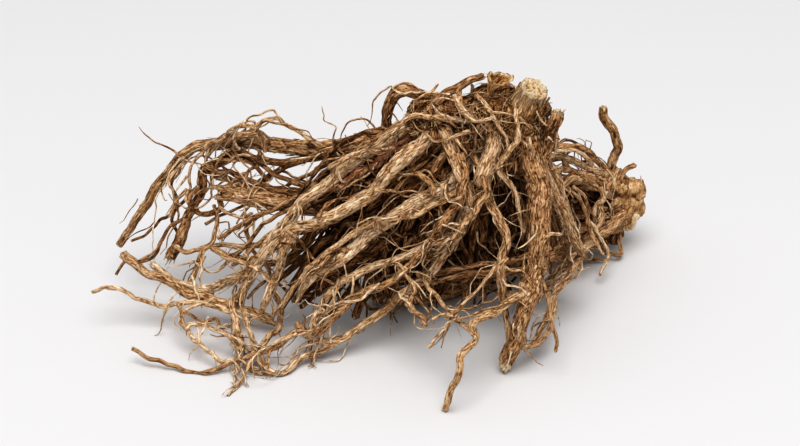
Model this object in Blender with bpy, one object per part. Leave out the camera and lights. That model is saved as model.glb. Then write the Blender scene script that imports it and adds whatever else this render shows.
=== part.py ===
"""Dried valerian root: a main crown and a side crown, each with the roots that grew from it."""
import math
import random

import bmesh
import bpy
from mathutils import Euler, Matrix, Vector, noise

# Sizes are in millimetres here and turned to metres when a shape is made
MM = 0.001
CENTRE_SHIFT = Vector((-2.4, 6.6, 0.0))

# Roots over these radii get eight and six sides, the rest four, and a coarse bend may cut a corner
THICK_RADIUS = 3.5
MIDDLE_RADIUS = 2.1
FINE_RADIUS = 0.55
CORNER_CUT = 0.8
FINE_CORNER_CUT = 1.1

# Seeds and counts for what is placed by rule
INNER_ROOTS = 24
SIDE_INNER_ROOTS = 12
MAIN_ROOTLETS = 12
SIDE_ROOTLETS = 20

# Each root: its name, its diameter where it leaves the crown and at its tip, and the places it passes

LEG_ROOTS = [
    ("leg", 10.8, 6.4, [(54, -2, 77), (59, -13, 59), (60, -21, 48), (58, -31, 33), (53, -40, 19), (48, -42, 3), (47, -42, -2)]),
    ("shin", 5.0, 4.0, [(56, -6, 74), (62, -9, 60), (68, -8, 47), (73, -5, 32), (77, -2, 21)]),
    ("shin_strand", 3.2, 2.4, [(58, 2, 72), (64, -2, 60), (70, -3, 46), (73, 1, 34), (72, 4, 20), (64, 3, 9)]),
    ("middle", 6.5, 3.2, [(46, -4, 82), (43, -11, 73), (40, -15, 67), (38, -16, 58), (35, -17, 48), (29, -17, 38)]),
    ("knee", 4.6, 2.4, [(39, -15, 60), (45, -22, 51), (48, -26, 45), (46, -32, 37), (47, -37, 26), (49, -41, 12)]),
    ("stray", 2.9, 2.3, [(57, -33, 29), (45, -43, 27), (35, -52, 26), (36, -55, 22), (31, -61, 19), (30, -65, 15), (26, -66, 0)]),
    ("hook", 2.5, 1.9, [(36, -9, 69), (40, -19, 65), (41, -22, 60), (36, -25, 53), (30, -27, 47), (23, -26, 43)]),
    ("right_stub", 3.6, 3.0, [(57, -6, 60), (62, -4, 65), (64, -1, 72), (65, 0, 77), (66, 0, 83)]),
    ("right_drop", 2.4, 2.0, [(76, -3, 23), (68, -14, 17), (62, -28, 12), (58, -36, 7), (51, -41, 9)]),
    ("right_hoop", 1.8, 1.9, [(66, -12, 15), (66, -22, 12), (61, -35, 8), (50, -41, 8)]),
    ("right_floor", 3.0, 2.2, [(77, -1, 24), (73, 3, 15), (66, 1, 9), (57, -6, 9), (48, -12, 14)]),
]

FRONT_ROOTS = [
    ("long_loop", 5.8, 2.2, [(26, -6, 78), (31, -14, 66), (34, -17, 54), (27, -19, 36), (13, -23, 21), (-3, -29, 10),
                             (-16, -34, 4), (-24, -38, 3), (-31, -44, 1), (-38, -41, 3), (-42, -30, 8), (-45, -20, 12)]),
    ("long_tip", 3.2, 1.4, [(32, -12, 71), (34, -19, 64), (26, -22, 49), (13, -25, 32), (-5, -29, 22), (-18, -35, 13),
                            (-26, -34, 11), (-38, -38, 6), (-52, -43, 2), (-61, -43, 0), (-69, -41, 2), (-84, -36, 5)]),
    ("diagonal", 7.2, 2.8, [(27, -2, 79), (13, -10, 69), (-2, -14, 55), (-16, -15, 46), (-27, -14, 42), (-38, -13, 29),
                            (-48, -12, 13)]),
    ("upper_diagonal", 5.8, 3.2, [(14, 2, 74), (-6, -3, 62), (-21, -7, 52), (-32, -9, 38), (-43, -9, 23), (-57, -8, 14),
                                  (-69, -7, 15), (-78, -7, 23)]),
    ("splinter", 5.0, 2.5, [(40, -3, 70), (29, -11, 59), (14, -16, 52), (1, -19, 44), (-11, -23, 34), (-20, -24, 28), (-28, -25, 16)]),
    ("over_splinter", 2.9, 1.8, [(38, -14, 61), (18, -21, 53), (3, -22, 49), (-10, -23, 41), (-22, -25, 31), (-35, -24, 11)]),
    ("under_splinter", 3.2, 2.9, [(34, -13, 56), (21, -18, 39), (6, -21, 32), (-9, -23, 26), (-17, -26, 18), (-20, -29, 9)]),
    ("flat_tip", 3.2, 2.5, [(-35, -16, 5), (-51, -12, 10), (-65, -10, 13), (-77, -9, 19), (-88, -8, 28)]),
    ("far_tip", 2.2, 1.4, [(-34, -17, 4), (-51, -14, 9), (-67, -13, 11), (-75, -13, 9), (-84, -12, 11), (-93, -11, 16),
                           (-101, -12, 15)]),
    ("bark_strip", 3.6, 2.2, [(-26, -13, 43), (-30, -18, 35), (-35, -19, 22), (-40, -19, 8)]),
    ("bright_stray", 1.8, 2.2, [(-53, -11, 29), (-43, -13, 26), (-38, -14, 23), (-33, -17, 13), (-33, -23, 7), (-38, -34, 6)]),
    ("peg", 2.9, 2.9, [(-50, -12, 11), (-48, -24, 7), (-46, -35, 4)]),
    ("short_peg", 3.2, 2.9, [(-38, -10, 29), (-44, -13, 21), (-47, -14, 11)]),
    ("floor_link", 2.9, 2.9, [(-26, -29, 12), (-20, -33, 8), (-14, -33, 6), (-6, -30, 9)]),
    ("left_loop", 1.5, 1.8, [(-56, -12, 12), (-67, -17, 9), (-65, -28, 8), (-56, -37, 5), (-50, -41, 4), (-38, -37, 6),
                             (-26, -34, 11)]),
    ("left_crossing", 1.3, 1.4, [(-66, -27, 8), (-63, -26, 10), (-54, -28, 9), (-44, -35, 6), (-38, -40, 4)]),
    ("front_whisker", 1.5, 1.1, [(-39, -35, 6), (-42, -43, 4), (-48, -56, 0)]),
    ("front_cross", 1.8, 1.5, [(17, -20, 27), (28, -39, 25), (37, -56, 23)]),
    ("front_thread", 1.3, 1.1, [(47, -29, 40), (37, -37, 31), (29, -45, 25), (21, -56, 19)]),
    ("front_dangle", 1.3, 1.4, [(8, -20, 33), (15, -28, 27), (14, -35, 24), (20, -43, 20)]),
    ("rear_foot", 3.0, 2.6, [(-3, -6, 52), (-10, 4, 34), (-10, 10, 16), (-6, 13, 1)]),
]

UPPER_ROOTS = [
    ("arch", 9.4, 2.9, [(33, 4, 74), (8, 10, 67), (-11, 13, 60), (-28, 18, 58), (-49, 22, 58), (-65, 23, 54),
                        (-77, 22, 42), (-83, 20, 33), (-93, 17, 17)]),
    ("crown_loop", 4.3, 3.6, [(33, 1, 81), (20, 5, 84), (12, 8, 85), (7, 9, 79), (6, 10, 65)]),
    ("top_stub", 2.9, 2.5, [(17, 1, 79), (26, -1, 88), (33, 0, 92), (39, 2, 94)]),
    ("surface_root", 2.0, 1.6, [(41, -8, 78), (30, -8, 82), (15, -6, 82), (6, -7, 75), (-14, -8, 63)]),
    ("split_end", 6.1, 4.7, [(6, -2, 50), (-20, 6, 38), (-40, 10, 40), (-57, 13, 40)]),
    ("brush_end", 3.2, 3.6, [(-47, 18, 56), (-59, 17, 50), (-62, 16, 41), (-68, 14, 27), (-73, 12, 15)]),
    ("rear_brown", 3.2, 3.2, [(-4, 10, 58), (-29, 14, 54), (-46, 16, 54), (-58, 17, 50)]),
    ("rear_cross", 2.9, 2.2, [(-6, 5, 44), (-32, 11, 48), (-43, 14, 56), (-51, 15, 57), (-61, 17, 48)]),
    ("rear_low", 2.9, 2.9, [(-10, 5, 42), (-31, 10, 44), (-44, 12, 44), (-61, 17, 49)]),
    ("rear_loop", 2.2, 1.6, [(-55, 12, 41), (-55, 12, 35), (-61, 12, 33), (-66, 13, 37), (-63, 15, 44)]),
    ("rear_drop", 1.4, 1.2, [(-67, 22, 52), (-73, 19, 43), (-71, 17, 34), (-72, 16, 28), (-70, 14, 21)]),
    ("rear_reach", 1.4, 1.1, [(-63, 17, 42), (-73, 17, 31), (-78, 17, 28), (-83, 15, 23), (-89, 15, 20)]),
    ("rear_long", 1.4, 1.1, [(-63, 14, 34), (-74, 13, 26), (-81, 10, 16), (-90, 7, 16), (-93, 5, 11)]),
    ("low_branch", 2.2, 1.8, [(-23, 0, 33), (-43, 6, 23), (-59, 5, 24), (-63, 1, 19), (-66, -5, 13)]),
    ("low_twig", 1.5, 1.8, [(-57, 12, 37), (-56, 9, 31), (-59, 5, 24), (-67, 6, 20), (-72, 10, 21)]),
    ("low_link", 2.2, 2.2, [(-58, 5, 23), (-48, 2, 20), (-32, -4, 22), (-22, -8, 28)]),
    ("low_zigzag", 1.8, 1.4, [(-36, 8, 38), (-45, 7, 31), (-43, 6, 22), (-38, 0, 19)]),
    ("high_whisker", 1.8, 1.4, [(-17, 13, 60), (-29, 12, 69), (-37, 13, 71), (-51, 19, 59)]),
    ("high_hoop", 1.8, 1.3, [(-38, 16, 57), (-40, 13, 67), (-47, 14, 68), (-60, 20, 53)]),
    ("crown_thread", 1.5, 1.2, [(37, -4, 90), (42, -9, 86), (47, -13, 78), (48, -15, 73), (44, -15, 67)]),
    ("crown_vine", 2.0, 1.5, [(51, -5, 87), (51, -13, 78), (46, -19, 69), (51, -21, 60), (54, -21, 45)]),
    ("crown_bend", 2.2, 1.3, [(31, 0, 90), (32, -8, 86), (38, -11, 83), (43, -9, 84)]),
]

SIDE_ROOTS = [
    ("side_log", 8.6, 5.0, [(96, 43, 17), (76, 32, 12), (50, 18, 6), (27, 7, 3), (6, 1, 3)]),
    ("side_bow", 4.3, 2.9, [(93, 43, 26), (81, 37, 35), (73, 33, 35), (64, 27, 27), (52, 20, 18), (38, 15, 16)]),
    ("side_runner", 3.6, 3.0, [(97, 44, 14), (83, 36, 10), (70, 28, 5), (52, 23, 3), (34, 18, 3)]),
    ("side_top", 2.5, 1.8, [(94, 45, 28), (83, 40, 42), (76, 38, 47), (66, 34, 48), (54, 27, 43)]),
    ("side_back", 2.9, 2.2, [(93, 45, 29), (77, 37, 41), (58, 30, 47), (43, 22, 42), (30, 17, 31)]),
    ("side_strand", 3.0, 2.0, [(92, 41, 24), (77, 38, 31), (66, 34, 33), (50, 26, 34), (36, 18, 24)]),
    ("side_curl", 2.9, 2.5, [(92, 43, 27), (86, 36, 25), (87, 32, 19), (80, 29, 13)]),
    ("side_thread", 1.5, 1.3, [(76, 34, 36), (81, 27, 22), (88, 24, 10), (86, 17, 5)]),
    ("side_twig", 2.2, 1.5, [(95, 46, 27), (97, 46, 33), (103, 46, 35)]),
    ("side_stub", 4.2, 3.4, [(94, 46, 26), (95, 46, 41), (92, 46, 50), (89, 46, 57)]),
    ("side_loop", 1.8, 1.6, [(92, 44, 12), (88, 37, 4), (92, 33, 3), (96, 36, 3), (95, 42, 8)]),
]

# Lumps of rhizome: name, middle, half sizes, turn about the vertical in degrees
MAIN_LUMPS = [
    ("rhizome", (44, 2, 77), (17, 12, 12), 8),
    ("shoulder", (25, 2, 77), (12, 9, 8), 10),
    ("neck", (50, 0, 67), (10, 9, 9), 0),
    ("stem_bed", (54, 2, 79), (9, 9, 8), 0),
]
SIDE_LUMPS = [
    ("bulb", (97, 46, 18), (8, 8.5, 10.5), 0),
    ("bulb_top", (93, 45, 27), (6, 6, 5.5), 20),
    ("bulb_foot", (92, 44, 6), (6, 6, 6.5), -15),
    ("bulb_knot", (101, 47, 24), (4.5, 5, 5), 30),
    ("side_neck", (86, 39, 16), (7, 6, 9), 20),
]

# Torn leaf bases round the cut stem: foot and top
LEAF_BASES = [
    ((48, -4, 83), (51, -7, 90)),
    ((41, -3, 84), (38, -5, 90)),
    ((47, 6, 84), (50, 9, 92)),
    ((38, 4, 84), (36, 4, 92)),
    ((55, 7, 80), (60, 10, 87)),
    ((58, -5, 76), (63, -7, 82)),
]

# The far end of the hidden roots, from the left of the fan to its right, and the same for the side crown
FAN_EDGE = [(-60, 6, 28), (-50, -8, 15), (-34, -18, 9), (-16, -22, 8), (2, -20, 10), (20, -16, 14), (36, -14, 15),
            (54, -8, 12), (70, 0, 20)]
SIDE_EDGE = [(14, 9, 7), (22, 14, 16), (34, 20, 30), (46, 24, 20), (52, 20, 5), (60, 22, 12)]


def behind_line(x):
    """How far back the main crown's roots reach low down, in front of the side crown's."""
    return 0.42 * x - 12


def clear_scene():
    for item in list(bpy.data.objects):
        bpy.data.objects.remove(item, do_unlink=True)


def smooth_path(places, per_span=10):
    """Rounds the places that a root passes into a curve through all of them."""
    knots = [Vector(p) for p in places]
    knots = [knots[0] * 2 - knots[1]] + knots + [knots[-1] * 2 - knots[-2]]
    curve = []
    for a, b, c, d in zip(knots, knots[1:], knots[2:], knots[3:]):
        for step in range(per_span):
            t = step / per_span
            curve.append(0.5 * (2 * b + (c - a) * t + (2 * a - 5 * b + 4 * c - d) * t * t
                                + (3 * b - a - 3 * c + d) * t ** 3))
    curve.append(knots[-2].copy())
    return curve


def crooked(curve, seed, radius):
    """Adds the slow crooks of a dried root, none at its start."""
    draw = random.Random(seed)
    waves = [(draw.uniform(17, 30), draw.uniform(0, 6.3), draw.uniform(0, 6.3)) for _ in range(3)]
    size = 0.35 + 0.12 * radius
    run = 0.0
    bent = [curve[0].copy()]
    for before, here in zip(curve, curve[1:]):
        run += (here - before).length
        grow = min(1.0, run / 15)
        shift = Vector()
        for axis, (length, phase, second) in enumerate(waves):
            turn = 6.283 * run / length
            shift[axis] = math.sin(turn + phase) + 0.5 * math.sin(2.3 * turn + second)
        bent.append(here + shift * size * grow)
    return bent


def swelling(run, seed):
    """How much thicker or thinner than its taper a root is at a distance along it."""
    return 1.0 + 0.2 * noise.noise(Vector((run / 9.0, seed * 7.31, 0.5)))


def thin_out(spots, allowed):
    """Keeps only the spots that a coarse tube needs to follow the curve."""
    if len(spots) < 3:
        return spots
    first, last = spots[0][0], spots[-1][0]
    chord = last - first
    worst, at = 0.0, 0
    for index, (place, _) in enumerate(spots[1:-1], 1):
        along = max(0.0, min(1.0, (place - first).dot(chord) / max(chord.length_squared, 1e-9)))
        off = (place - first - chord * along).length
        if off > worst:
            worst, at = off, index
    if worst <= allowed:
        return [spots[0], spots[-1]]
    return thin_out(spots[:at + 1], allowed)[:-1] + thin_out(spots[at:], allowed)


def root_spots(name, start, end, places):
    """Places and radii along one root, from its crown end to its tip."""
    seed = sum(ord(letter) for letter in name)
    curve = crooked(smooth_path(places), seed, start / 2)
    length = sum((b - a).length for a, b in zip(curve, curve[1:]))
    run = 0.0
    spots = []
    for index, place in enumerate(curve):
        if index:
            run += (place - curve[index - 1]).length
        radius = 0.5 * (start + (end - start) * run / length)
        spots.append((place, max(FINE_RADIUS, radius * swelling(run, seed))))
    return spots


def tube(root, collection, hidden=False):
    """One root as a closed tube, with more sides where it is thick and in view."""
    name = root[0]
    spots = root_spots(*root)
    thickest = max(radius for _, radius in spots)
    spots = thin_out(spots, CORNER_CUT if thickest > 1.2 else FINE_CORNER_CUT)
    curve = bpy.data.curves.new(name, "CURVE")
    curve.dimensions = "3D"
    curve.bevel_depth = thickest * MM
    curve.bevel_resolution = 0 if hidden else (thickest > MIDDLE_RADIUS) + (thickest > THICK_RADIUS)
    curve.use_fill_caps = True
    spline = curve.splines.new("POLY")
    spline.points.add(len(spots) - 1)
    for point, (place, radius) in zip(spline.points, spots):
        point.co = (*((place + CENTRE_SHIFT) * MM), 1.0)
        point.radius = radius / thickest
    holder = bpy.data.objects.new(name, curve)
    bpy.context.scene.collection.objects.link(holder)
    bpy.context.view_layer.update()
    shape = bpy.data.meshes.new_from_object(holder.evaluated_get(bpy.context.evaluated_depsgraph_get()))
    bpy.data.objects.remove(holder, do_unlink=True)
    return closed_object(name, shape, collection)


def closed_object(name, shape, collection):
    """Welds a mesh shut, faces it outward and puts it in the collection."""
    work = bmesh.new()
    work.from_mesh(shape)
    bmesh.ops.remove_doubles(work, verts=work.verts, dist=0.01 * MM)
    bmesh.ops.recalc_face_normals(work, faces=work.faces)
    work.to_mesh(shape)
    work.free()
    item = bpy.data.objects.new(name, shape)
    collection.objects.link(item)
    return item


def lump(name, middle, half, turn, collection):
    """An uneven knot of rhizome."""
    work = bmesh.new()
    bmesh.ops.create_icosphere(work, subdivisions=3 if max(half) > 9 else 2, radius=1.0)
    seed = sum(ord(letter) for letter in name)
    spin = Euler((0.0, 0.0, math.radians(turn))).to_matrix()
    for vert in work.verts:
        out = vert.co.normalized()
        bump = 1.0 + 0.26 * noise.noise(out * 2.2 + Vector((seed, 0, 0)))
        local = Vector((out.x * half[0], out.y * half[1], out.z * half[2])) * bump
        vert.co = (spin @ local + Vector(middle) + CENTRE_SHIFT) * MM
    shape = bpy.data.meshes.new(name)
    work.to_mesh(shape)
    work.free()
    return closed_object(name, shape, collection)


def stump(name, foot, top, foot_radius, top_radius, flatten, sides, rib, tilt, collection):
    """A cut stem base: a ribbed, tapered stump with a slanted face."""
    foot = Vector(foot)
    top = Vector(top)
    axis = top - foot
    work = bmesh.new()
    bmesh.ops.create_cone(work, cap_ends=True, segments=sides, radius1=foot_radius, radius2=top_radius,
                          depth=axis.length)
    draw = random.Random(name)
    ribs = [1.0 + draw.uniform(-rib, rib) for _ in range(sides)]
    stand = axis.to_track_quat("Z", "Y").to_matrix()
    for vert in work.verts:
        angle = math.atan2(vert.co.y, vert.co.x)
        side = round(angle / (2 * math.pi) * sides) % sides
        spread = ribs[side]
        local = Vector((vert.co.x * spread, vert.co.y * spread * flatten, vert.co.z))
        if vert.co.z > 0:
            local.z += tilt * local.x
        vert.co = (stand @ local + foot + axis / 2 + CENTRE_SHIFT) * MM
    shape = bpy.data.meshes.new(name)
    work.to_mesh(shape)
    work.free()
    return closed_object(name, shape, collection)


def inner_root(index):
    """A hidden root of the fan, from under the crown to near the fan's far edge."""
    draw = random.Random(400 + index)
    edge = edge_place(FAN_EDGE, (index + draw.uniform(0.1, 0.9)) / INNER_ROOTS)
    edge += Vector((draw.uniform(-4, 4), draw.uniform(-1, 9), draw.uniform(-2, 7)))
    start = Vector((28 + 26 * index / INNER_ROOTS, draw.uniform(-5, 7), draw.uniform(68, 75)))
    rise = Vector((draw.uniform(-4, 4), draw.uniform(0, 7), draw.uniform(2, 9)))
    middle = start.lerp(edge, 0.38) + rise
    later = start.lerp(edge, 0.72) + rise * 0.6 + Vector((draw.uniform(-4, 4), draw.uniform(-3, 3), 0))
    for place in (middle, later, edge):
        if place.x > 0 and place.z < 60:
            place.y = min(place.y, behind_line(place.x))
    thick = draw.uniform(3.4, 5.6)
    return (f"inner_{index:02d}", thick, thick * 0.55, [tuple(start), tuple(middle), tuple(later), tuple(edge)])


def side_inner_root(index):
    """A root of the side crown that runs in behind the main crown's."""
    draw = random.Random(700 + index)
    edge = edge_place(SIDE_EDGE, (index + draw.uniform(0.1, 0.9)) / SIDE_INNER_ROOTS)
    edge += Vector((draw.uniform(-4, 4), draw.uniform(0, 6), draw.uniform(-2, 4)))
    start = Vector((draw.uniform(84, 93), draw.uniform(39, 45), draw.uniform(9, 27)))
    middle = start.lerp(edge, 0.5) + Vector((draw.uniform(-4, 4), draw.uniform(-2, 6), draw.uniform(-2, 7)))
    for place in (middle, edge):
        place.y = max(place.y, behind_line(place.x) + 7)
        place.z = max(place.z, 2.5)
    thick = draw.uniform(2.6, 4.4)
    return (f"side_inner_{index:02d}", thick, thick * 0.6, [tuple(start), tuple(middle), tuple(edge)])


def edge_place(edge, share):
    """A place part of the way along an edge given by its corners."""
    at = share * (len(edge) - 1)
    low = min(int(at), len(edge) - 2)
    return Vector(edge[low]).lerp(Vector(edge[low + 1]), at - low)


def rootlet(index, seed, parents, wall):
    """A thin side root: it leaves a parent root, curls on and keeps to its own crown's side."""
    draw = random.Random(seed + index)
    name, start, end, places = draw.choice(parents)
    curve = smooth_path(places, 6)
    at = draw.randint(len(curve) // 4, len(curve) - 2)
    way = (curve[at + 1] - curve[at]).normalized()
    side = Vector((draw.uniform(-1, 1), draw.uniform(-1, 1), draw.uniform(-1, 0.6))).normalized()
    heading = (way * 0.9 + side).normalized()
    here = curve[at].copy()
    path = [tuple(here)]
    length = draw.uniform(5, 9)
    for _ in range(draw.randint(3, 5)):
        heading = (heading + Vector((draw.uniform(-0.7, 0.7), draw.uniform(-0.7, 0.7), draw.uniform(-0.8, 0.5)))).normalized()
        here = here + heading * length
        here.z = max(here.z, 2.0)
        here.x = max(-88.0, min(92.0, here.x))
        if wall == "main" and here.x > 0 and here.z < 56:
            here.y = min(here.y, behind_line(here.x) - 1)
        if wall == "side":
            here.y = min(max(here.y, behind_line(here.x) + 7), 52)
            here.z = min(here.z, 50)
        path.append(tuple(here))
    return (f"{wall}_rootlet_{index:02d}", draw.uniform(1.5, 2.0), 1.2, path)


def fuse(name, collection, cut_floor):
    """Joins everything in the collection into one body and cuts it flat where it rests."""
    pieces = list(collection.objects)
    body = pieces[0]
    collection.objects.unlink(body)
    bpy.context.scene.collection.objects.link(body)
    body.name = name
    body.data.name = name
    join = body.modifiers.new("join", "BOOLEAN")
    join.operation = "UNION"
    join.operand_type = "COLLECTION"
    join.collection = collection
    join.solver = "MANIFOLD"
    apply_modifiers(body)
    floor = body.modifiers.new("floor", "BOOLEAN")
    floor.operation = "DIFFERENCE"
    floor.object = cut_floor
    floor.solver = "MANIFOLD"
    apply_modifiers(body)
    for item in list(collection.objects):
        bpy.data.objects.remove(item, do_unlink=True)
    keep_outer_shell(body)
    return body


def apply_modifiers(body):
    bpy.context.view_layer.update()
    made = bpy.data.meshes.new_from_object(body.evaluated_get(bpy.context.evaluated_depsgraph_get()))
    body.modifiers.clear()
    old = body.data
    body.data = made
    bpy.data.meshes.remove(old)
    made.name = body.name


def keep_outer_shell(body):
    """Drops loose scraps and fills the small hollows that the roots seal between them."""
    work = bmesh.new()
    work.from_mesh(body.data)
    bmesh.ops.triangulate(work, faces=work.faces)
    unseen = set(work.faces)
    shells = []
    while unseen:
        shell = [unseen.pop()]
        for face in shell:
            for edge in face.edges:
                for other in edge.link_faces:
                    if other in unseen:
                        unseen.discard(other)
                        shell.append(other)
        volume = sum(f.verts[0].co.dot(f.verts[1].co.cross(f.verts[2].co)) for f in shell) / 6
        shells.append((volume, len(shells), shell))
    shells.sort(reverse=True)
    print(body.name, "shells", [round(s[0] * 1e9, 2) for s in shells])
    spare = [face for _, _, shell in shells[1:] for face in shell]
    bmesh.ops.delete(work, geom=spare, context="FACES")
    work.to_mesh(body.data)
    work.free()
    print(body.name, "triangles", len(body.data.polygons))


def material(name, colour, roughness):
    made = bpy.data.materials.new(name)
    made.use_nodes = True
    shader = made.node_tree.nodes["Principled BSDF"]
    shader.inputs["Base Color"].default_value = (*colour, 1.0)
    shader.inputs["Roughness"].default_value = roughness
    shader.inputs["Metallic"].default_value = 0.0
    made.diffuse_color = (*colour, 1.0)
    return made


def floor_cutter(collection):
    """The table under the clump, which every resting root is cut flat by."""
    work = bmesh.new()
    bmesh.ops.create_cube(work, size=1.0, matrix=Matrix.Translation((0, 0, -0.03)) @ Matrix.Diagonal((0.4, 0.4, 0.06, 1)))
    shape = bpy.data.meshes.new("floor_cutter")
    work.to_mesh(shape)
    work.free()
    item = closed_object("floor_cutter", shape, collection)
    item.hide_render = True
    item.display_type = "WIRE"
    return item


def build():
    clear_scene()
    whole = bpy.context.scene.collection
    cutters = bpy.data.collections.new("cutters")
    main = bpy.data.collections.new("main")
    side = bpy.data.collections.new("side")
    clump = bpy.data.collections.new("valerian_root")
    for group in (cutters, main, side, clump):
        whole.children.link(group)
    floor = floor_cutter(cutters)

    for name, middle, half, turn in MAIN_LUMPS:
        lump(name, middle, half, turn, main)
    stump("big_stem", (51, 1, 76), (57.3, -2, 91.4), 8.2, 5.2, 0.86, 14, 0.08, 0.0, main)
    stump("husk", (44.5, 1, 85), (45.2, 0, 95.8), 2.0, 4.4, 0.55, 8, 0.1, 0.0, main)
    for index, (foot, tip) in enumerate(LEAF_BASES):
        stump(f"leaf_base_{index}", foot, tip, 3.0, 0.9, 0.5, 5, 0.1, 0.0, main)
    heroes = LEG_ROOTS + FRONT_ROOTS + UPPER_ROOTS
    inner = [inner_root(index) for index in range(INNER_ROOTS)]
    rootlets = [rootlet(index, 900, heroes[:24] + inner, "main") for index in range(MAIN_ROOTLETS)]
    for root in heroes + rootlets:
        tube(root, main)
    for root in inner:
        tube(root, main, hidden=True)

    for name, middle, half, turn in SIDE_LUMPS:
        lump(name, middle, half, turn, side)
    side_inner = [side_inner_root(index) for index in range(SIDE_INNER_ROOTS)]
    side_rootlets = [rootlet(index, 1300, SIDE_ROOTS[:7] + side_inner, "side") for index in range(SIDE_ROOTLETS)]
    for root in SIDE_ROOTS + side_rootlets:
        tube(root, side)
    for root in side_inner:
        tube(root, side, hidden=True)

    bodies = [
        (fuse("main_crown_roots", main, floor), material("dried_root_bark", (0.25, 0.15, 0.075), 0.85)),
        (fuse("side_crown_roots", side, floor), material("side_root_bark", (0.29, 0.17, 0.085), 0.85)),
    ]
    for body, bark in bodies:
        body.data.materials.clear()
        body.data.materials.append(bark)
        whole.objects.unlink(body)
        clump.objects.link(body)
    bpy.data.objects.remove(floor, do_unlink=True)
    for group in (cutters, main, side):
        bpy.data.collections.remove(group)
    spots = [body.matrix_world @ Vector(corner) for body, _ in bodies for corner in body.bound_box]
    for axis in range(3):
        values = [spot[axis] * 1000 for spot in spots]
        print("xyz"[axis], round(min(values), 2), round(max(values), 2))


build()
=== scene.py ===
import math
import random
import bpy
import numpy as np
from mathutils import Euler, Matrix, Vector, kdtree, noise


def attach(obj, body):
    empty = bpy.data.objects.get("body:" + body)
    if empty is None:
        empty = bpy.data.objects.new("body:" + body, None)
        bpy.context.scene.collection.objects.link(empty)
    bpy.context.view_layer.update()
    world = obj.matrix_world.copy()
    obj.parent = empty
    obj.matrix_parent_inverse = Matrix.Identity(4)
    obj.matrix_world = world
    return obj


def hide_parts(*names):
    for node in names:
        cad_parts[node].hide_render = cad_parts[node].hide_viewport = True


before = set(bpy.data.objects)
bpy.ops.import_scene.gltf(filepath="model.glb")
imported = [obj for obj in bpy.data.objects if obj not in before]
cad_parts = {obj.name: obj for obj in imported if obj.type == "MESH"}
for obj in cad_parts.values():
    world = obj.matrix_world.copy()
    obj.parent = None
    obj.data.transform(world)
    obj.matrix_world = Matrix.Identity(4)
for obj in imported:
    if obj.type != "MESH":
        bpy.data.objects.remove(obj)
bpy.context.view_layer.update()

mm = 0.001  # routes below are in millimetres
centreShift = np.array([-2.4, 6.6, 0.0])  # brings the middle of the clump's outline to the origin
tableGap = 0.04  # from the table to the lowest bark
upward = (0.0, 0.0, 1.0)
noise.seed_set(11)  # else noise_vector starts from the clock, and no two runs bend a root alike


# small helpers: colours, nodes, noise, drawn shifts

def linearColour(hexCode):
    parts = [int(hexCode[i:i + 2], 16) / 255 for i in (1, 3, 5)]
    return (*[p / 12.92 if p <= 0.04045 else ((p + 0.055) / 1.055) ** 2.4 for p in parts], 1.0)


def addNode(tree, kind, settings=None, inputs=None):
    node = tree.nodes.new(kind)
    for name, value in (settings or {}).items():
        if name == "stops":  # a ramp's stops, as place and hex colour
            while len(node.color_ramp.elements) < len(value):
                node.color_ramp.elements.new(0.5)
            for element, (place, hexCode) in zip(node.color_ramp.elements, value):
                element.position = place
                element.color = linearColour(hexCode)
        else:
            setattr(node, name, value)
    for name, value in (inputs or {}).items():
        if isinstance(value, bpy.types.NodeSocket):
            tree.links.new(value, node.inputs[name])
        else:
            node.inputs[name].default_value = value
    return node


def nameSeed(name):
    return sum(ord(letter) for letter in name)


latticeTurn = np.array(Euler((0.62, 0.91, 0.37)).to_matrix())  # keeps the noise off the axes
cornerPrimes = (73856093, 19349663, 83492791)  # they make one key of a lattice corner
seedPrime = 2654435
mixSteps = ((13, 1274126177), (15, 2246822519))  # shifts and primes that scatter the key


def fieldNoise(points, seed):  # smooth random field, about -1 to 1
    turned = points @ latticeTurn + seed * 1.37
    cell = np.floor(turned).astype(np.int64)
    part = turned - cell
    fade = part * part * part * (part * (part * 6 - 15) + 10)
    total = np.zeros(len(points))
    for corner in range(8):
        step = np.array([corner & 1, corner >> 1 & 1, corner >> 2 & 1])
        at = cell + step
        key = seed * seedPrime
        for axis, prime in enumerate(cornerPrimes):
            key = key ^ (at[:, axis] * prime)
        for shift, prime in mixSteps:
            key = ((key ^ (key >> shift)) * prime) & 0x7FFFFFFF
        away = part - step
        slope = sum(((key >> 8 * axis & 255) - 127.5) * away[:, axis] for axis in range(3)) / 127.5
        total += slope * np.prod(np.where(step, fade, 1 - fade), axis=1)
    return total * 1.6


def drawnShift(draw, *spans):  # drawn within one span for each axis
    return Vector([draw.uniform(low, high) for low, high in spans])


def drawnWay(draw, reach=1):  # drawn to all sides alike
    return np.array([draw.uniform(-reach, reach) for _ in range(3)])


def unitWay(way):
    return way / np.linalg.norm(way)


def turnLevel(points, degrees):  # turned about the upright axis
    spin = math.radians(degrees)
    x, y, z = points.T
    turned = [x * math.cos(spin) - y * math.sin(spin), x * math.sin(spin) + y * math.cos(spin), z]
    return np.stack(turned, axis=-1)


# every root: its width where it leaves the crown, its width at the tip, and the places it passes

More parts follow.
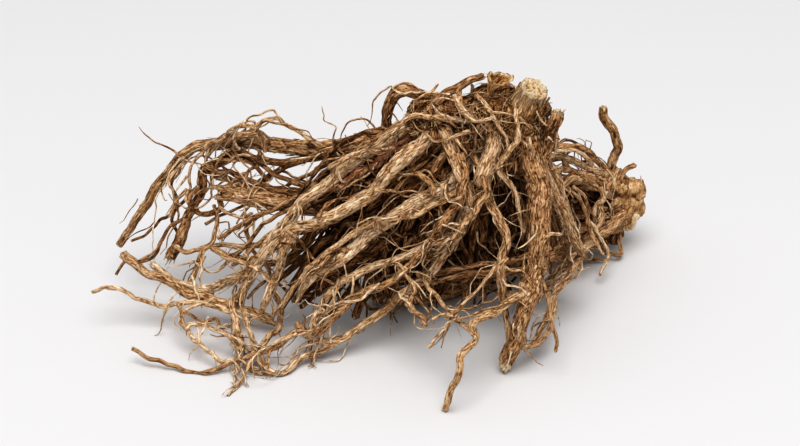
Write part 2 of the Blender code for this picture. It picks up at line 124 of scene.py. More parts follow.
legRoots = {
    "leg": (10.8, 6.4, [(54, -2, 77), (59, -13, 59), (60, -21, 48), (58, -31, 33), (53, -40, 19),
        (48, -42, 3), (47, -42, -2)]),
    "shin": (5.0, 4.0, [(56, -6, 74), (62, -9, 60), (68, -8, 47), (73, -5, 32), (77, -2, 21)]),
    "shin_strand": (3.2, 2.4, [(58, 2, 72), (64, -2, 60), (70, -3, 46), (73, 1, 34), (72, 4, 20),
        (64, 3, 9)]),
    "middle": (6.5, 3.2, [(46, -4, 82), (43, -11, 73), (40, -15, 67), (38, -16, 58), (35, -17, 48),
        (29, -17, 38)]),
    "knee": (4.6, 2.4, [(39, -15, 60), (45, -22, 51), (48, -26, 45), (46, -32, 37), (47, -37, 26),
        (49, -41, 12)]),
    "stray": (2.9, 2.3, [(57, -33, 29), (45, -43, 27), (35, -52, 26), (36, -55, 22), (31, -61, 19),
        (30, -65, 15), (26, -66, 0)]),
    "hook": (2.5, 1.9, [(36, -9, 69), (40, -19, 65), (41, -22, 60), (36, -25, 53), (30, -27, 47),
        (23, -26, 43)]),
    "right_stub": (3.5, 4.6, [(57, -10, 60), (60.5, -9, 66), (63, -7, 73), (64.5, -6, 78),
        (66, -5, 83)]),
    "right_drop": (2.4, 2.0, [(76, -3, 23), (68, -14, 17), (62, -28, 12), (58, -36, 7), (51, -41, 9)]),
    "right_hoop": (1.8, 1.9, [(66, -12, 15), (66, -22, 12), (61, -35, 8), (50, -41, 8)]),
    "right_floor": (3.0, 2.2, [(77, -1, 24), (73, 3, 15), (66, 1, 9), (57, -6, 9), (48, -12, 14)]),
}
frontRoots = {
    "long_loop": (5.8, 2.2, [(26, -6, 78), (31, -14, 66), (34, -17, 54), (27, -19, 36), (13, -23, 21),
        (-3, -29, 10), (-16, -34, 4), (-24, -38, 3), (-31, -44, 1), (-38, -41, 3), (-42, -30, 8),
        (-45, -20, 12)]),
    "long_tip": (3.2, 1.4, [(32, -12, 71), (34, -19, 64), (26, -22, 49), (13, -25, 32), (-5, -29, 22),
        (-18, -35, 13), (-26, -34, 11), (-38, -38, 6), (-52, -43, 2), (-61, -43, 0), (-69, -41, 2),
        (-84, -36, 5)]),
    "diagonal": (7.2, 2.8, [(27, -2, 79), (13, -10, 69), (-2, -14, 55), (-16, -15, 46), (-27, -14, 42),
        (-38, -13, 29), (-48, -12, 13)]),
    "upper_diagonal": (5.8, 3.2, [(14, 2, 74), (-6, -3, 62), (-21, -7, 52), (-32, -9, 38),
        (-43, -9, 23), (-57, -8, 14), (-69, -7, 15), (-78, -7, 23)]),
    "splinter": (5.0, 2.5, [(40, -3, 70), (29, -11, 59), (14, -16, 52), (1, -19, 44), (-11, -23, 34),
        (-20, -24, 28), (-28, -25, 16)]),
    "over_splinter": (2.4, 1.6, [(38, -14, 61), (18, -21, 53), (3, -22, 49), (-10, -23, 41),
        (-22, -25, 31), (-35, -24, 11)]),
    "under_splinter": (3.2, 2.9, [(34, -13, 56), (21, -18, 39), (6, -21, 32), (-9, -23, 26),
        (-17, -26, 18), (-20, -29, 9)]),
    "flat_tip": (3.2, 3.3, [(-35, -16, 5), (-51, -12, 10), (-65, -10, 13), (-77, -9, 19),
        (-88, -8, 28)]),
    "far_tip": (2.2, 1.4, [(-34, -17, 4), (-51, -14, 9), (-67, -13, 11), (-75, -13, 9), (-84, -12, 11),
        (-93, -11, 16), (-101, -12, 15)]),
    "bark_strip": (3.6, 2.2, [(-26, -13, 43), (-30, -18, 35), (-35, -19, 22), (-40, -19, 8)]),
    "bright_stray": (1.8, 2.2, [(-53, -11, 29), (-43, -13, 26), (-38, -14, 23), (-33, -17, 13),
        (-33, -23, 7), (-38, -34, 6)]),
    "peg": (2.9, 2.9, [(-50, -12, 11), (-48, -24, 7), (-46, -35, 4)]),
    "short_peg": (3.2, 2.9, [(-38, -10, 29), (-44, -13, 21), (-47, -14, 11)]),
    "floor_link": (2.9, 2.9, [(-26, -29, 12), (-20, -33, 8), (-14, -33, 6), (-6, -30, 9)]),
    "left_loop": (1.5, 1.8, [(-56, -12, 12), (-67, -17, 9), (-65, -28, 8), (-56, -37, 5), (-50, -41, 4),
        (-38, -37, 6), (-26, -34, 11)]),
    "left_crossing": (1.3, 1.4, [(-66, -27, 8), (-63, -26, 10), (-54, -28, 9), (-44, -35, 6),
        (-38, -40, 4)]),
    "front_whisker": (1.5, 1.1, [(-39, -35, 6), (-42, -43, 4), (-48, -56, 0)]),
    "front_cross": (1.8, 1.5, [(17, -20, 27), (28, -39, 25), (37, -56, 23)]),
    "front_thread": (1.3, 1.1, [(47, -29, 40), (37, -37, 31), (29, -45, 25), (21, -56, 19)]),
    "front_dangle": (1.3, 1.4, [(8, -20, 33), (15, -28, 27), (14, -35, 24), (20, -43, 20)]),
    "rusty": (3.6, 2.8, [(15, 0, 71), (10, -2, 68), (5, -3, 65), (1, -4, 61), (-5, -5, 58),
        (-11, -6, 54)]),
    "rear_foot": (3.0, 2.6, [(-3, -6, 52), (-10, 4, 34), (-10, 10, 16), (-6, 13, 1)]),
}
upperRoots = {
    "arch": (9.4, 2.9, [(33, 4, 74), (8, 10, 67), (-11, 13, 60), (-28, 18, 58), (-49, 22, 58),
        (-65, 23, 54), (-77, 22, 42), (-83, 20, 33), (-93, 17, 17)]),
    "crown_loop": (4.3, 3.6, [(33, 1, 81), (20, 5, 84), (12, 8, 85), (7, 9, 79), (6, 10, 65)]),
    "top_stub": (2.9, 2.5, [(17, 1, 79), (26, -1, 88), (33, 0, 92), (39, 2, 94)]),
    "surface_root": (2.0, 1.6, [(41, -8, 78), (30, -8, 82), (15, -6, 82), (6, -7, 75), (-14, -8, 63)]),
    "split_end": (6.8, 6.2, [(6, -2, 50), (-20, 6, 39), (-40, 10, 41), (-59, 13, 42)]),
    "brush_end": (3.2, 3.6, [(-47, 18, 56), (-59, 17, 50), (-62, 16, 41), (-68, 14, 27),
        (-73, 12, 15)]),
    "rear_brown": (3.2, 3.2, [(-4, 10, 58), (-29, 14, 54), (-46, 16, 54), (-58, 17, 50)]),
    "rear_cross": (2.9, 2.2, [(-6, 5, 44), (-32, 11, 48), (-43, 14, 56), (-51, 15, 57), (-61, 17, 48)]),
    "rear_low": (2.9, 2.9, [(-10, 5, 42), (-31, 10, 44), (-44, 12, 44), (-61, 17, 49)]),
    "rear_loop": (2.2, 1.6, [(-55, 12, 41), (-55, 12, 35), (-61, 12, 33), (-66, 13, 37),
        (-63, 15, 44)]),
    "rear_drop": (1.4, 1.2, [(-67, 22, 52), (-73, 19, 43), (-71, 17, 34), (-72, 16, 28),
        (-70, 14, 21)]),
    "rear_reach": (1.4, 1.1, [(-63, 17, 42), (-73, 17, 31), (-78, 17, 28), (-83, 15, 23),
        (-89, 15, 20)]),
    "rear_long": (1.4, 1.1, [(-63, 14, 34), (-74, 13, 26), (-81, 10, 16), (-90, 7, 16), (-93, 5, 11)]),
    "low_branch": (2.2, 1.8, [(-23, 0, 33), (-43, 6, 23), (-59, 5, 24), (-63, 1, 19), (-66, -5, 13)]),
    "low_twig": (1.5, 1.8, [(-57, 12, 37), (-56, 9, 31), (-59, 5, 24), (-67, 6, 20), (-72, 10, 21)]),
    "low_link": (2.2, 2.2, [(-58, 5, 23), (-48, 2, 20), (-32, -4, 22), (-22, -8, 28)]),
    "low_zigzag": (1.8, 1.4, [(-36, 8, 38), (-45, 7, 31), (-43, 6, 22), (-38, 0, 19)]),
    "rear_thin": (2.0, 1.5, [(-12, 6, 45), (-29, 9, 44), (-41, 12, 44), (-51, 14, 47), (-57, 15, 52)]),
    "rear_slant": (2.5, 2.1, [(-8, 9, 62), (-21, 12, 57), (-32, 14, 51), (-36, 15, 47), (-41, 15, 44)]),
    "rear_mid": (2.2, 1.6, [(-24, 13, 42), (-34, 13, 43), (-42, 13, 46), (-49, 13, 50), (-55, 13, 50),
        (-60, 13, 53)]),
    "rear_fork": (1.8, 1.3, [(-37, 14, 46), (-41, 14, 51), (-45, 14, 54), (-50, 14, 54), (-55, 14, 52),
        (-58, 14, 47)]),
    "rear_web": (1.4, 1.1, [(-40, 14, 58), (-39, 14, 54), (-44, 14, 50), (-46, 14, 44), (-50, 14, 42)]),
    "high_whisker": (1.8, 1.4, [(-17, 13, 60), (-29, 12, 69), (-37, 13, 71), (-51, 19, 59)]),
    "high_hoop": (1.8, 1.3, [(-38, 16, 57), (-40, 13, 67), (-47, 14, 68), (-60, 20, 53)]),
    "crown_thread": (1.5, 1.2, [(37, -4, 90), (42, -9, 86), (47, -13, 78), (48, -15, 73),
        (44, -15, 67)]),
    "crown_vine": (2.0, 1.5, [(51, -5, 87), (51, -13, 78), (46, -19, 69), (51, -21, 60),
        (54, -21, 45)]),
    "crown_bend": (2.2, 1.3, [(31, 0, 90), (32, -8, 86), (38, -11, 83), (43, -9, 84)]),
}
sideRoots = {
    "side_log": (8.6, 5.0, [(96, 43, 17), (76, 32, 12), (50, 18, 6), (27, 7, 3), (6, 1, 3)]),
    "side_bow": (4.3, 2.9, [(93, 43, 26), (81, 37, 35), (73, 33, 35), (64, 27, 27), (52, 20, 18),
        (38, 15, 16)]),
    "side_runner": (3.6, 3.0, [(97, 44, 14), (83, 36, 10), (70, 28, 5), (52, 23, 3), (34, 18, 3)]),
    "side_top": (2.5, 1.8, [(94, 45, 28), (83, 40, 42), (76, 38, 47), (66, 34, 48), (54, 27, 43)]),
    "side_back": (2.9, 2.2, [(93, 45, 29), (77, 37, 41), (58, 30, 47), (43, 22, 42), (30, 17, 31)]),
    "side_strand": (3.0, 2.0, [(92, 41, 24), (77, 38, 31), (66, 34, 33), (50, 26, 34), (36, 18, 24)]),
    "side_curl": (2.9, 2.5, [(92, 43, 27), (86, 36, 25), (87, 32, 19), (80, 29, 13)]),
    "side_thread": (1.5, 1.3, [(76, 34, 36), (81, 27, 22), (88, 24, 10), (86, 17, 5)]),
    "side_twig": (1.6, 1.9, [(93, 43, 30), (95, 43, 33), (97, 43, 35), (99.5, 44, 36)]),
    "side_stub": (3.8, 3.2, [(90.5, 46, 30), (91, 46, 37), (92, 46, 42), (92, 46, 45), (90.5, 46, 49.5),
        (87.5, 46, 55), (86, 46, 58.5)]),
    "side_arch": (2.3, 1.9, [(89, 43, 32), (87, 42, 37), (83, 40, 42), (79, 38, 46), (75, 35, 49),
        (70, 32, 50)]),
    "side_low_arch": (1.9, 1.6, [(86, 42, 33), (82, 38, 40), (77, 35, 46), (71, 32, 49), (67, 29, 50)]),
    "side_broad": (2.6, 2.4, [(85, 36, 30), (82, 33, 35), (78, 30, 40), (73, 26, 44), (66, 19, 48)]),
    "side_tan": (3.5, 3.7, [(66, 21, 34), (69, 22, 38), (73, 25, 40), (78, 28, 39), (82, 31, 35)]),
    "side_hook": (2.1, 1.8, [(86, 36, 31), (87, 34, 27), (85, 33, 25), (84, 31, 20), (86, 32, 14)]),
    "side_drop": (1.4, 1.1, [(72, 25, 38), (77, 26, 32), (80, 25, 26), (82, 23, 19), (83, 20, 17),
        (87, 17, 14)]),
    "side_low": (4.0, 3.4, [(95, 38, 17), (86, 29, 14), (79, 23, 11), (73, 18, 9)]),
    "side_pale": (2.4, 1.4, [(94, 39, 16), (92, 36, 17), (87, 32, 15), (83, 28, 13), (80, 24, 11)]),
    "side_small": (1.5, 1.2, [(90, 40, 27), (86, 37, 26), (87, 36, 23), (91, 38, 21)]),
    "side_bud": (1.4, 0.9, [(102, 46, 24), (102.5, 46, 28), (102, 46, 30)]),
    "side_loop": (1.8, 1.6, [(92, 44, 12), (88, 37, 4), (92, 33, 3), (96, 36, 3), (95, 42, 8)]),
}

# thin roots that cross in front of the others: width at the start and at the tip, places
frontThreads = {
    "legLink": (0.8, 0.6, [(42, -20, 67), (46, -20, 70), (50, -15, 69), (52, -11, 66)]),
    "legCross": (0.9, 0.6, [(64, -19, 58), (62, -22, 58), (60, -23, 56), (59, -23, 54)]),
    "legWhisker": (0.9, 0.5, [(58, -28, 48), (54, -29, 44), (50, -30, 42)]),
    "legRunner": (1.4, 0.9, [(67, -25, 46), (63, -28, 48), (61, -30, 47), (60, -32, 44), (60, -33, 41),
        (60, -33, 38), (62, -32, 36)]),
    "legZigzag": (0.9, 0.7, [(54, -29, 40), (54, -32, 38), (54, -35, 36), (56, -37, 34)]),
    "kneeTwig": (1.1, 0.7, [(47, -35, 39), (50, -35, 37), (53, -35, 37), (55, -35, 35)]),
    "kneeDrop": (1.3, 0.9, [(48, -34, 42), (45, -36, 40), (45, -37, 36), (45, -37, 31), (44, -37, 27)]),
    "shinSide": (1.4, 1.1, [(73, 6, 48), (77, 6, 44), (79, 5, 39), (79, 3, 33), (81, 2, 28),
        (83, -1, 26)]),
    "shinBright": (0.9, 0.5, [(71, -8, 54), (69, -10, 51), (70, -10, 50)]),
    "archHoop": (1, 0.7, [(28, -4, 90), (23, 1, 88), (19, 4, 87), (15, 4, 87), (12, 4, 87), (9, 6, 87),
        (7, 8, 87), (3, 10, 83), (2, 12, 78), (0, 13, 72), (-2, 15, 68)]),
    "crossCrown": (1, 0.6, [(24, 2, 91), (22, 2, 88), (18, 0, 87), (16, -3, 86), (16, -4, 83),
        (16, -4, 80)]),
    "crownBranch": (1.5, 0.9, [(35, -12, 80), (30, -12, 78), (24, -11, 75), (21, -11, 77),
        (15, -7, 81)]),
    "crownFork": (1.4, 0.9, [(30, -12, 77), (33, -15, 74), (34, -16, 72)]),
    "crownPale": (2, 1.5, [(30, -7, 90), (31, -10, 89), (33, -12, 87), (35, -12, 85)]),
    "crownTwig": (1.2, 0.8, [(14, -5, 77), (11, -4, 76), (10, -3, 73), (9, -3, 70)]),
    "fanCurl": (1.5, 0.9, [(-29, -17, 43), (-27, -17, 41), (-24, -14, 36), (-23, -11, 32),
        (-22, -10, 29), (-20, -18, 32), (-16, -26, 36)]),
    "fanGold": (2.4, 1.8, [(-8, -24, 39), (-12, -18, 35), (-14, -26, 36), (-18, -27, 32),
        (-21, -26, 30), (-22, -26, 28)]),
    "fanZigzag": (0.9, 0.7, [(-30, -29, 30), (-29, -23, 24), (-33, -21, 21)]),
    "fanThread": (1, 0.6, [(-31, -17, 41), (-32, -17, 38), (-34, -17, 35), (-34, -21, 33),
        (-33, -21, 32)]),
    "fanWisp": (1, 0.6, [(-31, -19, 39), (-28, -20, 39), (-27, -18, 36), (-24, -13, 33)]),
    "fanHairs": (0.8, 0.6, [(-23, -15, 16), (-24, -21, 16), (-23, -27, 18)]),
    "midArc": (1.1, 0.8, [(10, -11, 60), (12, -11, 62), (17, -10, 63), (20, -9, 63), (23, -13, 61),
        (25, -16, 60), (24, -20, 57)]),
    "midBrown": (1.6, 2.2, [(9, -12, 56), (13, -10, 60), (16, -10, 62), (20, -14, 62), (22, -16, 59),
        (22, -17, 57)]),
    "midPale": (1.2, 0.8, [(2, -18, 60), (5, -17, 59), (7, -15, 58), (10, -13, 56), (12, -12, 54),
        (14, -15, 56), (16, -18, 58), (20, -18, 56)]),
    "midWander": (1.2, 0.8, [(-10, -9, 42), (-7, -11, 41), (-3, -12, 44), (1, -19, 48), (3, -25, 50),
        (4, -24, 47), (6, -18, 42), (9, -18, 38), (11, -17, 36), (12, -21, 37)]),
    "midHang": (1, 1.5, [(9, -24, 34), (11, -26, 34), (14, -28, 30), (16, -32, 28), (14, -30, 24),
        (13, -30, 21), (16, -40, 24), (19, -40, 21), (19, -40, 18)]),
    "midHook": (1, 0.7, [(25, -26, 43), (24, -23, 38), (21, -20, 34), (20, -19, 31), (20, -22, 31)]),
    "darkHook": (1, 0.6, [(38, -13, 40), (39, -12, 35), (43, -12, 32)]),
    "lowArc": (0.9, 0.7, [(28, -12, 28), (30, -12, 26), (32, -14, 25), (37, -15, 25), (37, -14, 26)]),
    "crossBranch": (1, 0.7, [(29, -49, 28), (32, -48, 30), (35, -46, 29), (39, -42, 29), (42, -41, 29),
        (45, -39, 29), (47, -38, 29)]),
    "crossLink": (1.3, 0.8, [(29, -49, 28), (25, -49, 28), (20, -49, 25)]),
    "crossWhisker": (0.9, 0.7, [(20, -40, 20), (21, -40, 23), (22, -40, 26)]),
    "crownStrand": (1.7, 1.2, [(30, -6, 90), (31, -10, 88), (35, -12, 85), (39, -12, 84),
        (43, -12, 85)]),
    "crownDrop": (1.4, 0.9, [(38, -12, 83), (37, -12, 78), (37, -12, 75), (36, -12, 72),
        (33, -16, 71)]),
    "stemHair": (0.8, 0.6, [(58, -9, 86), (59, -8, 83), (61, -9, 81), (63, -6, 78), (66, -4, 73),
        (67, 2, 68), (66, 0, 64), (66, -1, 62)]),
    "stemFoot": (1.3, 0.9, [(52, -10, 84), (54, -10, 82), (56, -10, 80), (57, -9, 79)]),
    "crownCross": (1.1, 0.8, [(41, -11, 87), (44, -10, 86), (49, -10, 85), (50, -10, 85)]),
    "topHair": (0.9, 0.5, [(-69, 20, 52), (-72, 21, 55), (-76, 21, 57), (-79, 21, 58), (-81, 21, 60),
        (-84, 21, 64)]),
    "hoopDown": (1.3, 1, [(-46, 12, 70), (-50, 13, 67), (-52, 14, 64), (-55, 15, 62), (-57, 17, 60),
        (-59, 18, 57), (-61, 17, 55), (-63, 17, 53), (-65, 16, 51), (-66, 15, 46), (-66, 16, 42),
        (-67, 13, 39), (-66, 10, 39)]),
    "archDrop": (1.4, 0.8, [(-67, 20, 51), (-70, 18, 49), (-73, 17, 45), (-71, 14, 42), (-71, 15, 38),
        (-72, 15, 35), (-75, 15, 31)]),
    "archTwig": (1, 0.7, [(-69, 18, 49), (-71, 18, 45), (-72, 18, 43)]),
    "archBridge": (1.6, 1, [(-67, 18, 40), (-71, 16, 37), (-72, 14, 35), (-73, 13, 32)]),
    "archTail": (0.8, 0.5, [(-77, 18, 41), (-75, 14, 38), (-74, 14, 38)]),
    "archRung": (1, 0.8, [(-67, 19, 45), (-70, 16, 42), (-71, 14, 41)]),
    "tipBranch": (1.3, 0.9, [(-83, -10, 26), (-81, -6, 25), (-80, -1, 23), (-78, 4, 24), (-76, 7, 25)]),
    "footArc": (1, 0.7, [(-53, -2, 19), (-56, -2, 17), (-59, -2, 17), (-62, -2, 19), (-64, -4, 22),
        (-66, -6, 22), (-72, -8, 23), (-73, -9, 22)]),
    "footDrop": (1.2, 0.8, [(-60, -1, 23), (-61, -3, 21), (-61, -4, 18), (-62, -7, 17), (-61, -10, 17),
        (-61, -11, 16)]),
    "footHair": (0.9, 0.5, [(-72, -18, 12), (-74, -18, 8), (-75, -18, 4), (-76, -18, 1),
        (-77, -18, 0)]),
    "footTail": (1.6, 0.8, [(-69, -15, 11), (-67, -22, 11), (-66, -27, 12), (-65, -29, 10),
        (-65, -29, 6)]),
    "footBow": (1.4, 1.1, [(-67, -19, 11), (-64, -19, 9), (-62, -19, 7), (-59, -19, 6), (-56, -19, 8),
        (-54, -21, 6), (-51, -24, 7), (-50, -25, 9)]),
    "footWire": (1.3, 1.1, [(-65, -30, 10), (-63, -28, 11), (-58, -29, 11), (-55, -30, 10),
        (-52, -32, 10), (-48, -35, 10), (-45, -36, 8)]),
    "footThread": (1, 0.7, [(-57, -28, 14), (-58, -29, 11), (-59, -32, 10), (-60, -35, 10),
        (-61, -35, 6), (-63, -35, 3), (-64, -35, 0)]),
    "footStay": (1.1, 0.8, [(-50, -34, 10), (-48, -36, 8), (-48, -38, 6)]),
    "topHoop": (1.1, 0.9, [(-49, 12, 62), (-48, 11, 65), (-45, 12, 67), (-42, 12, 68), (-40, 11, 70),
        (-38, 11, 72), (-34, 11, 71), (-30, 10, 70), (-25, 10, 68), (-22, 10, 67), (-20, 11, 64)]),
    "hoopTwig": (1.2, 0.8, [(-17, 3, 58), (-15, 2, 61), (-9, -1, 64), (-7, -9, 70)]),
    "fanPale": (1.5, 1, [(-18, -18, 49), (-17, -14, 49), (-15, -10, 50), (-12, -9, 50), (-7, -9, 52)]),
    "fanWhip": (0.8, 0.5, [(-42, 10, 46), (-44, 7, 42), (-46, 8, 38), (-46, 4, 36), (-47, 3, 33),
        (-49, 3, 30)]),
    "fanSag": (1.4, 1.2, [(-55, 10, 37), (-52, 10, 35), (-49, 10, 34), (-46, 9, 34), (-43, 9, 35)]),
    "archHair": (0.9, 0.5, [(4, 10, 66), (1, 10, 71), (-1, 10, 73), (-5, 10, 72), (-8, 10, 71),
        (-10, 11, 67), (-11, 12, 62)]),
    "topWisp": (0.6, 0.4, [(-13, 12, 60), (-13, 11, 66), (-12, 11, 70), (-16, 11, 72), (-16, 11, 74),
        (-17, 11, 77)]),
}

# how much wider or narrower than an even taper, at shares of the length
widthShapes = {
    "leg": ([0, 0.3, 0.55, 0.75, 1], [0.84, 0.84, 0.8, 0.74, 0.84]),
    "diagonal": ([0, 0.4, 1], [0.75, 0.9, 0.95]),
    "upper_diagonal": ([0, 0.5, 1], [0.74, 0.82, 0.88]),
    "splinter": ([0, 0.4, 0.75, 1], [0.95, 1.3, 1.55, 1.3]),
    "long_loop": ([0, 0.3, 0.5, 0.65, 1], [0.85, 0.9, 0.78, 0.62, 0.78]),
    "arch": ([0, 0.3, 0.5, 0.75, 1], [0.95, 0.98, 0.84, 0.78, 0.9]),
    "brush_end": ([0, 0.5, 1], [0.75, 1.05, 1.2]),
    "rear_brown": ([0, 1], [0.85, 0.7]),
    "rear_cross": ([0, 1], [0.75, 0.75]),
    "rear_low": ([0, 1], [0.8, 0.7]),
    "split_end": ([0, 0.5, 1], [0.9, 1.1, 1.0]),
    "knee": ([0, 1], [0.85, 0.85]),
}

# roots that can only be guessed at, drawn by rule between a crown and the far edge of its fan
hiddenRule = {
    "mainCount": 24,
    "mainSeed": 400,
    "mainEdge": [(-60, 6, 28), (-50, -8, 15), (-34, -18, 9), (-16, -22, 8), (2, -20, 10), (20, -16, 14),
        (36, -14, 15), (54, -8, 12), (70, 0, 20)],
    "sideCount": 12,
    "sideSeed": 700,
    "sideEdge": [(14, 9, 7), (22, 14, 16), (34, 20, 30), (46, 24, 20), (52, 20, 5), (60, 22, 12)],
    "thinFirst": 5,  # the first ones reach into the open left of the fan, and are drawn thinner
    "thinShare": 0.5,
}


def behindLine(x):  # how far back the main crown's roots reach low down
    return 0.42 * x - 12


def edgePlace(edge, share):
    at = share * (len(edge) - 1)
    low = min(int(at), len(edge) - 2)
    return Vector(edge[low]).lerp(Vector(edge[low + 1]), at - low)


def hiddenMainRoot(index):
    draw = random.Random(hiddenRule["mainSeed"] + index)
    count = hiddenRule["mainCount"]
    edge = edgePlace(hiddenRule["mainEdge"], (index + draw.uniform(0.1, 0.9)) / count)
    edge += drawnShift(draw, (-4, 4), (-1, 9), (-2, 7))
    start = Vector((28 + 26 * index / count, draw.uniform(-5, 7), draw.uniform(68, 75)))
    rise = drawnShift(draw, (-4, 4), (0, 7), (2, 9))
    middle = start.lerp(edge, 0.38) + rise
    later = start.lerp(edge, 0.72) + rise * 0.6 + Vector((draw.uniform(-4, 4), draw.uniform(-3, 3), 0))
    for place in (middle, later, edge):
        if place.x > 0 and place.z < 60:
            place.y = min(place.y, behindLine(place.x))
    thick = draw.uniform(3.4, 5.6)
    return f"inner_{index:02d}", (thick, thick * 0.55, [tuple(p) for p in (start, middle, later, edge)])


def hiddenSideRoot(index):
    draw = random.Random(hiddenRule["sideSeed"] + index)
    edge = edgePlace(hiddenRule["sideEdge"], (index + draw.uniform(0.1, 0.9)) / hiddenRule["sideCount"])
    edge += drawnShift(draw, (-4, 4), (0, 6), (-2, 4))
    start = drawnShift(draw, (84, 93), (39, 45), (9, 27))
    middle = start.lerp(edge, 0.5) + drawnShift(draw, (-4, 4), (-2, 6), (-2, 7))
    for place in (middle, edge):
        place.y = max(place.y, behindLine(place.x) + 7)
        place.z = max(place.z, 2.5)
    thick = draw.uniform(2.6, 4.4)
    return f"side_inner_{index:02d}", (thick, thick * 0.6, [tuple(p) for p in (start, middle, edge)])


# thinner roots that close the gaps of the fan; two in three get a dark tone, painted shade for the inside
# of the clump
fillRule = {
    "mainCount": 130,
    "mainSeed": 2100,
    "sideCount": 90,
    "sideSeed": 2500,
    "mainThick": (1.6, 3.8),
    "sideThick": (1.6, 3.6),
    "frontEdge": [(-28, -14, 14), (-14, -18, 10), (4, -18, 11), (22, -14, 14), (38, -10, 14),
        (56, -4, 14), (68, 2, 22)],
    "backEdge": [(-34, 10, 44), (-26, 10, 30), (-14, 8, 20), (2, 0, 12), (20, 0, 12), (40, 6, 16)],
    "middleEdge": [(-36, -4, 34), (-30, 0, 44), (-22, -2, 32), (-12, 0, 40), (-4, 2, 30), (8, -4, 24)],
    "sideEdge": [(0, 5, 5), (6, 10, 12), (14, 10, 6), (20, 14, 16), (26, 13, 9), (30, 20, 26),
        (20, 8, 4), (40, 22, 18), (48, 22, 6), (60, 24, 30)],
}


def fillRoot(index, crown):
    draw = random.Random(fillRule[crown + "Seed"] + index)
    count = fillRule[crown + "Count"]
    if crown == "main":
        kind = ("backEdge", "frontEdge", "frontEdge", "middleEdge", "frontEdge")[index % 5]
        edge = edgePlace(fillRule[kind], min(0.999, (index + draw.uniform(0.0, 1.0)) / count))
        edge += drawnShift(draw, (-6, 6), (-4, 8), (-8, 8))
        across = 24 + 32 * index / count + draw.uniform(-5, 5)
        start = Vector((across, draw.uniform(-7, 8), draw.uniform(66, 80)))
        rise = drawnShift(draw, (-6, 6), (-2, 8), (-5, 7))
        thick = draw.uniform(*fillRule["mainThick"])
    else:
        edge = edgePlace(fillRule["sideEdge"], min(0.999, (index + draw.uniform(0.0, 1.0)) / count))
        edge += drawnShift(draw, (-5, 8), (-2, 7), (-4, 5))
        start = drawnShift(draw, (78, 91), (36, 46), (5, 29))
        rise = drawnShift(draw, (-5, 5), (-4, 8), (-4, 11))
        thick = draw.uniform(*fillRule["sideThick"])
    edge = start.lerp(edge, draw.uniform(0.8, 1.0))
    places = [start, start.lerp(edge, 0.3) + rise, start.lerp(edge, 0.62) + rise * 0.7, edge]
    places[2] += drawnShift(draw, (-4, 4), (-4, 4), (-4, 4))
    for place in places[1:]:
        if crown == "main" and place.x > 0 and place.z < 60:
            place.y = min(place.y, behindLine(place.x))
        if crown == "side":
            place.y = max(place.y, behindLine(place.x) + 7)
        place.z = max(place.z, 2.0)
    return f"{crown}Fill{index}", (thick, 1.0, [tuple(place) for place in places])


# bundles of roots behind the others, darkened with painted shade: thickness, places, how many, how far
# they spread
bundles = {
    "upperGap": (3.2, [(16, 2, 72), (8, 3, 62), (0, 3, 56), (-6, 3, 51), (-12, 4, 45),
        (-18, 4, 40)], 5, 3.0),
    "lowGap": (3.0, [(16, -2, 58), (6, -4, 48), (-4, -7, 39), (-14, -10, 31), (-22, -12, 23)], 6, 3.4),
    "underLeg": (2.4, [(66, -8, 27), (58, -13, 27), (48, -16, 26), (32, -17, 25),
        (15, -15, 20)], 6, 2.6),
    "edgeGap": (2.6, [(-6, -6, 49), (-15, -8, 42), (-23, -9, 34), (-29, -10, 27)], 4, 2.6),
    "lowestGap": (2.8, [(11, -12, 38), (-1, -14, 31), (-11, -16, 24), (-20, -17, 18),
        (-26, -18, 14)], 6, 2.8),
    "footGap": (3.0, [(13, -4, 47), (2, -8, 38), (-8, -11, 28), (-17, -14, 19)], 5, 3.0),
    "middleGap": (3.0, [(20, 1, 72), (8, 2, 59), (2, 0, 54), (-4, -2, 50), (-10, -3, 44)], 5, 3.0),
    "side_bundle": (4.2, [(84, 36, 14), (66, 27, 11), (48, 20, 6), (40, 17, 6), (30, 13, 7),
        (22, 10, 6), (15, 7, 4)], 9, 4.2),
    "floor_bundle": (3.4, [(58, 24, 10), (50, 19, 7), (36, 13, 5), (24, 9, 4), (12, 5, 4),
        (2, 2, 3)], 7, 3.4),
}


def bundleRoots(name):
    thick, places, count, spread = bundles[name]
    draw = random.Random(nameSeed(name))
    for index in range(count):
        aside = [draw.uniform(-spread, spread) for _ in range(3)]
        moved = [(x + aside[0] * 0.5 + draw.uniform(-1.5, 1.5), y + aside[1] + draw.uniform(-1.5, 1.5),
                  max(2.2, z + aside[2] + draw.uniform(-1.2, 1.2))) for x, y, z in places]
        yield f"{name}{index}", (thick * draw.uniform(0.7, 1.15), thick * draw.uniform(0.4, 0.8), moved)


def smoothRoute(places, perSpan=10):
    knots = [Vector(p) for p in places]
    knots = [knots[0] * 2 - knots[1]] + knots + [knots[-1] * 2 - knots[-2]]
    curve = []
    for a, b, c, d in zip(knots, knots[1:], knots[2:], knots[3:]):
        for step in range(perSpan):
            t = step / perSpan
            curve.append(0.5 * (2 * b + (c - a) * t + (2 * a - 5 * b + 4 * c - d) * t * t
                                + (3 * b - a - 3 * c + d) * t ** 3))
    curve.append(knots[-2].copy())
    return curve


rootletRule = {"mainCount": 12, "mainSeed": 900, "sideCount": 20, "sideSeed": 1300}


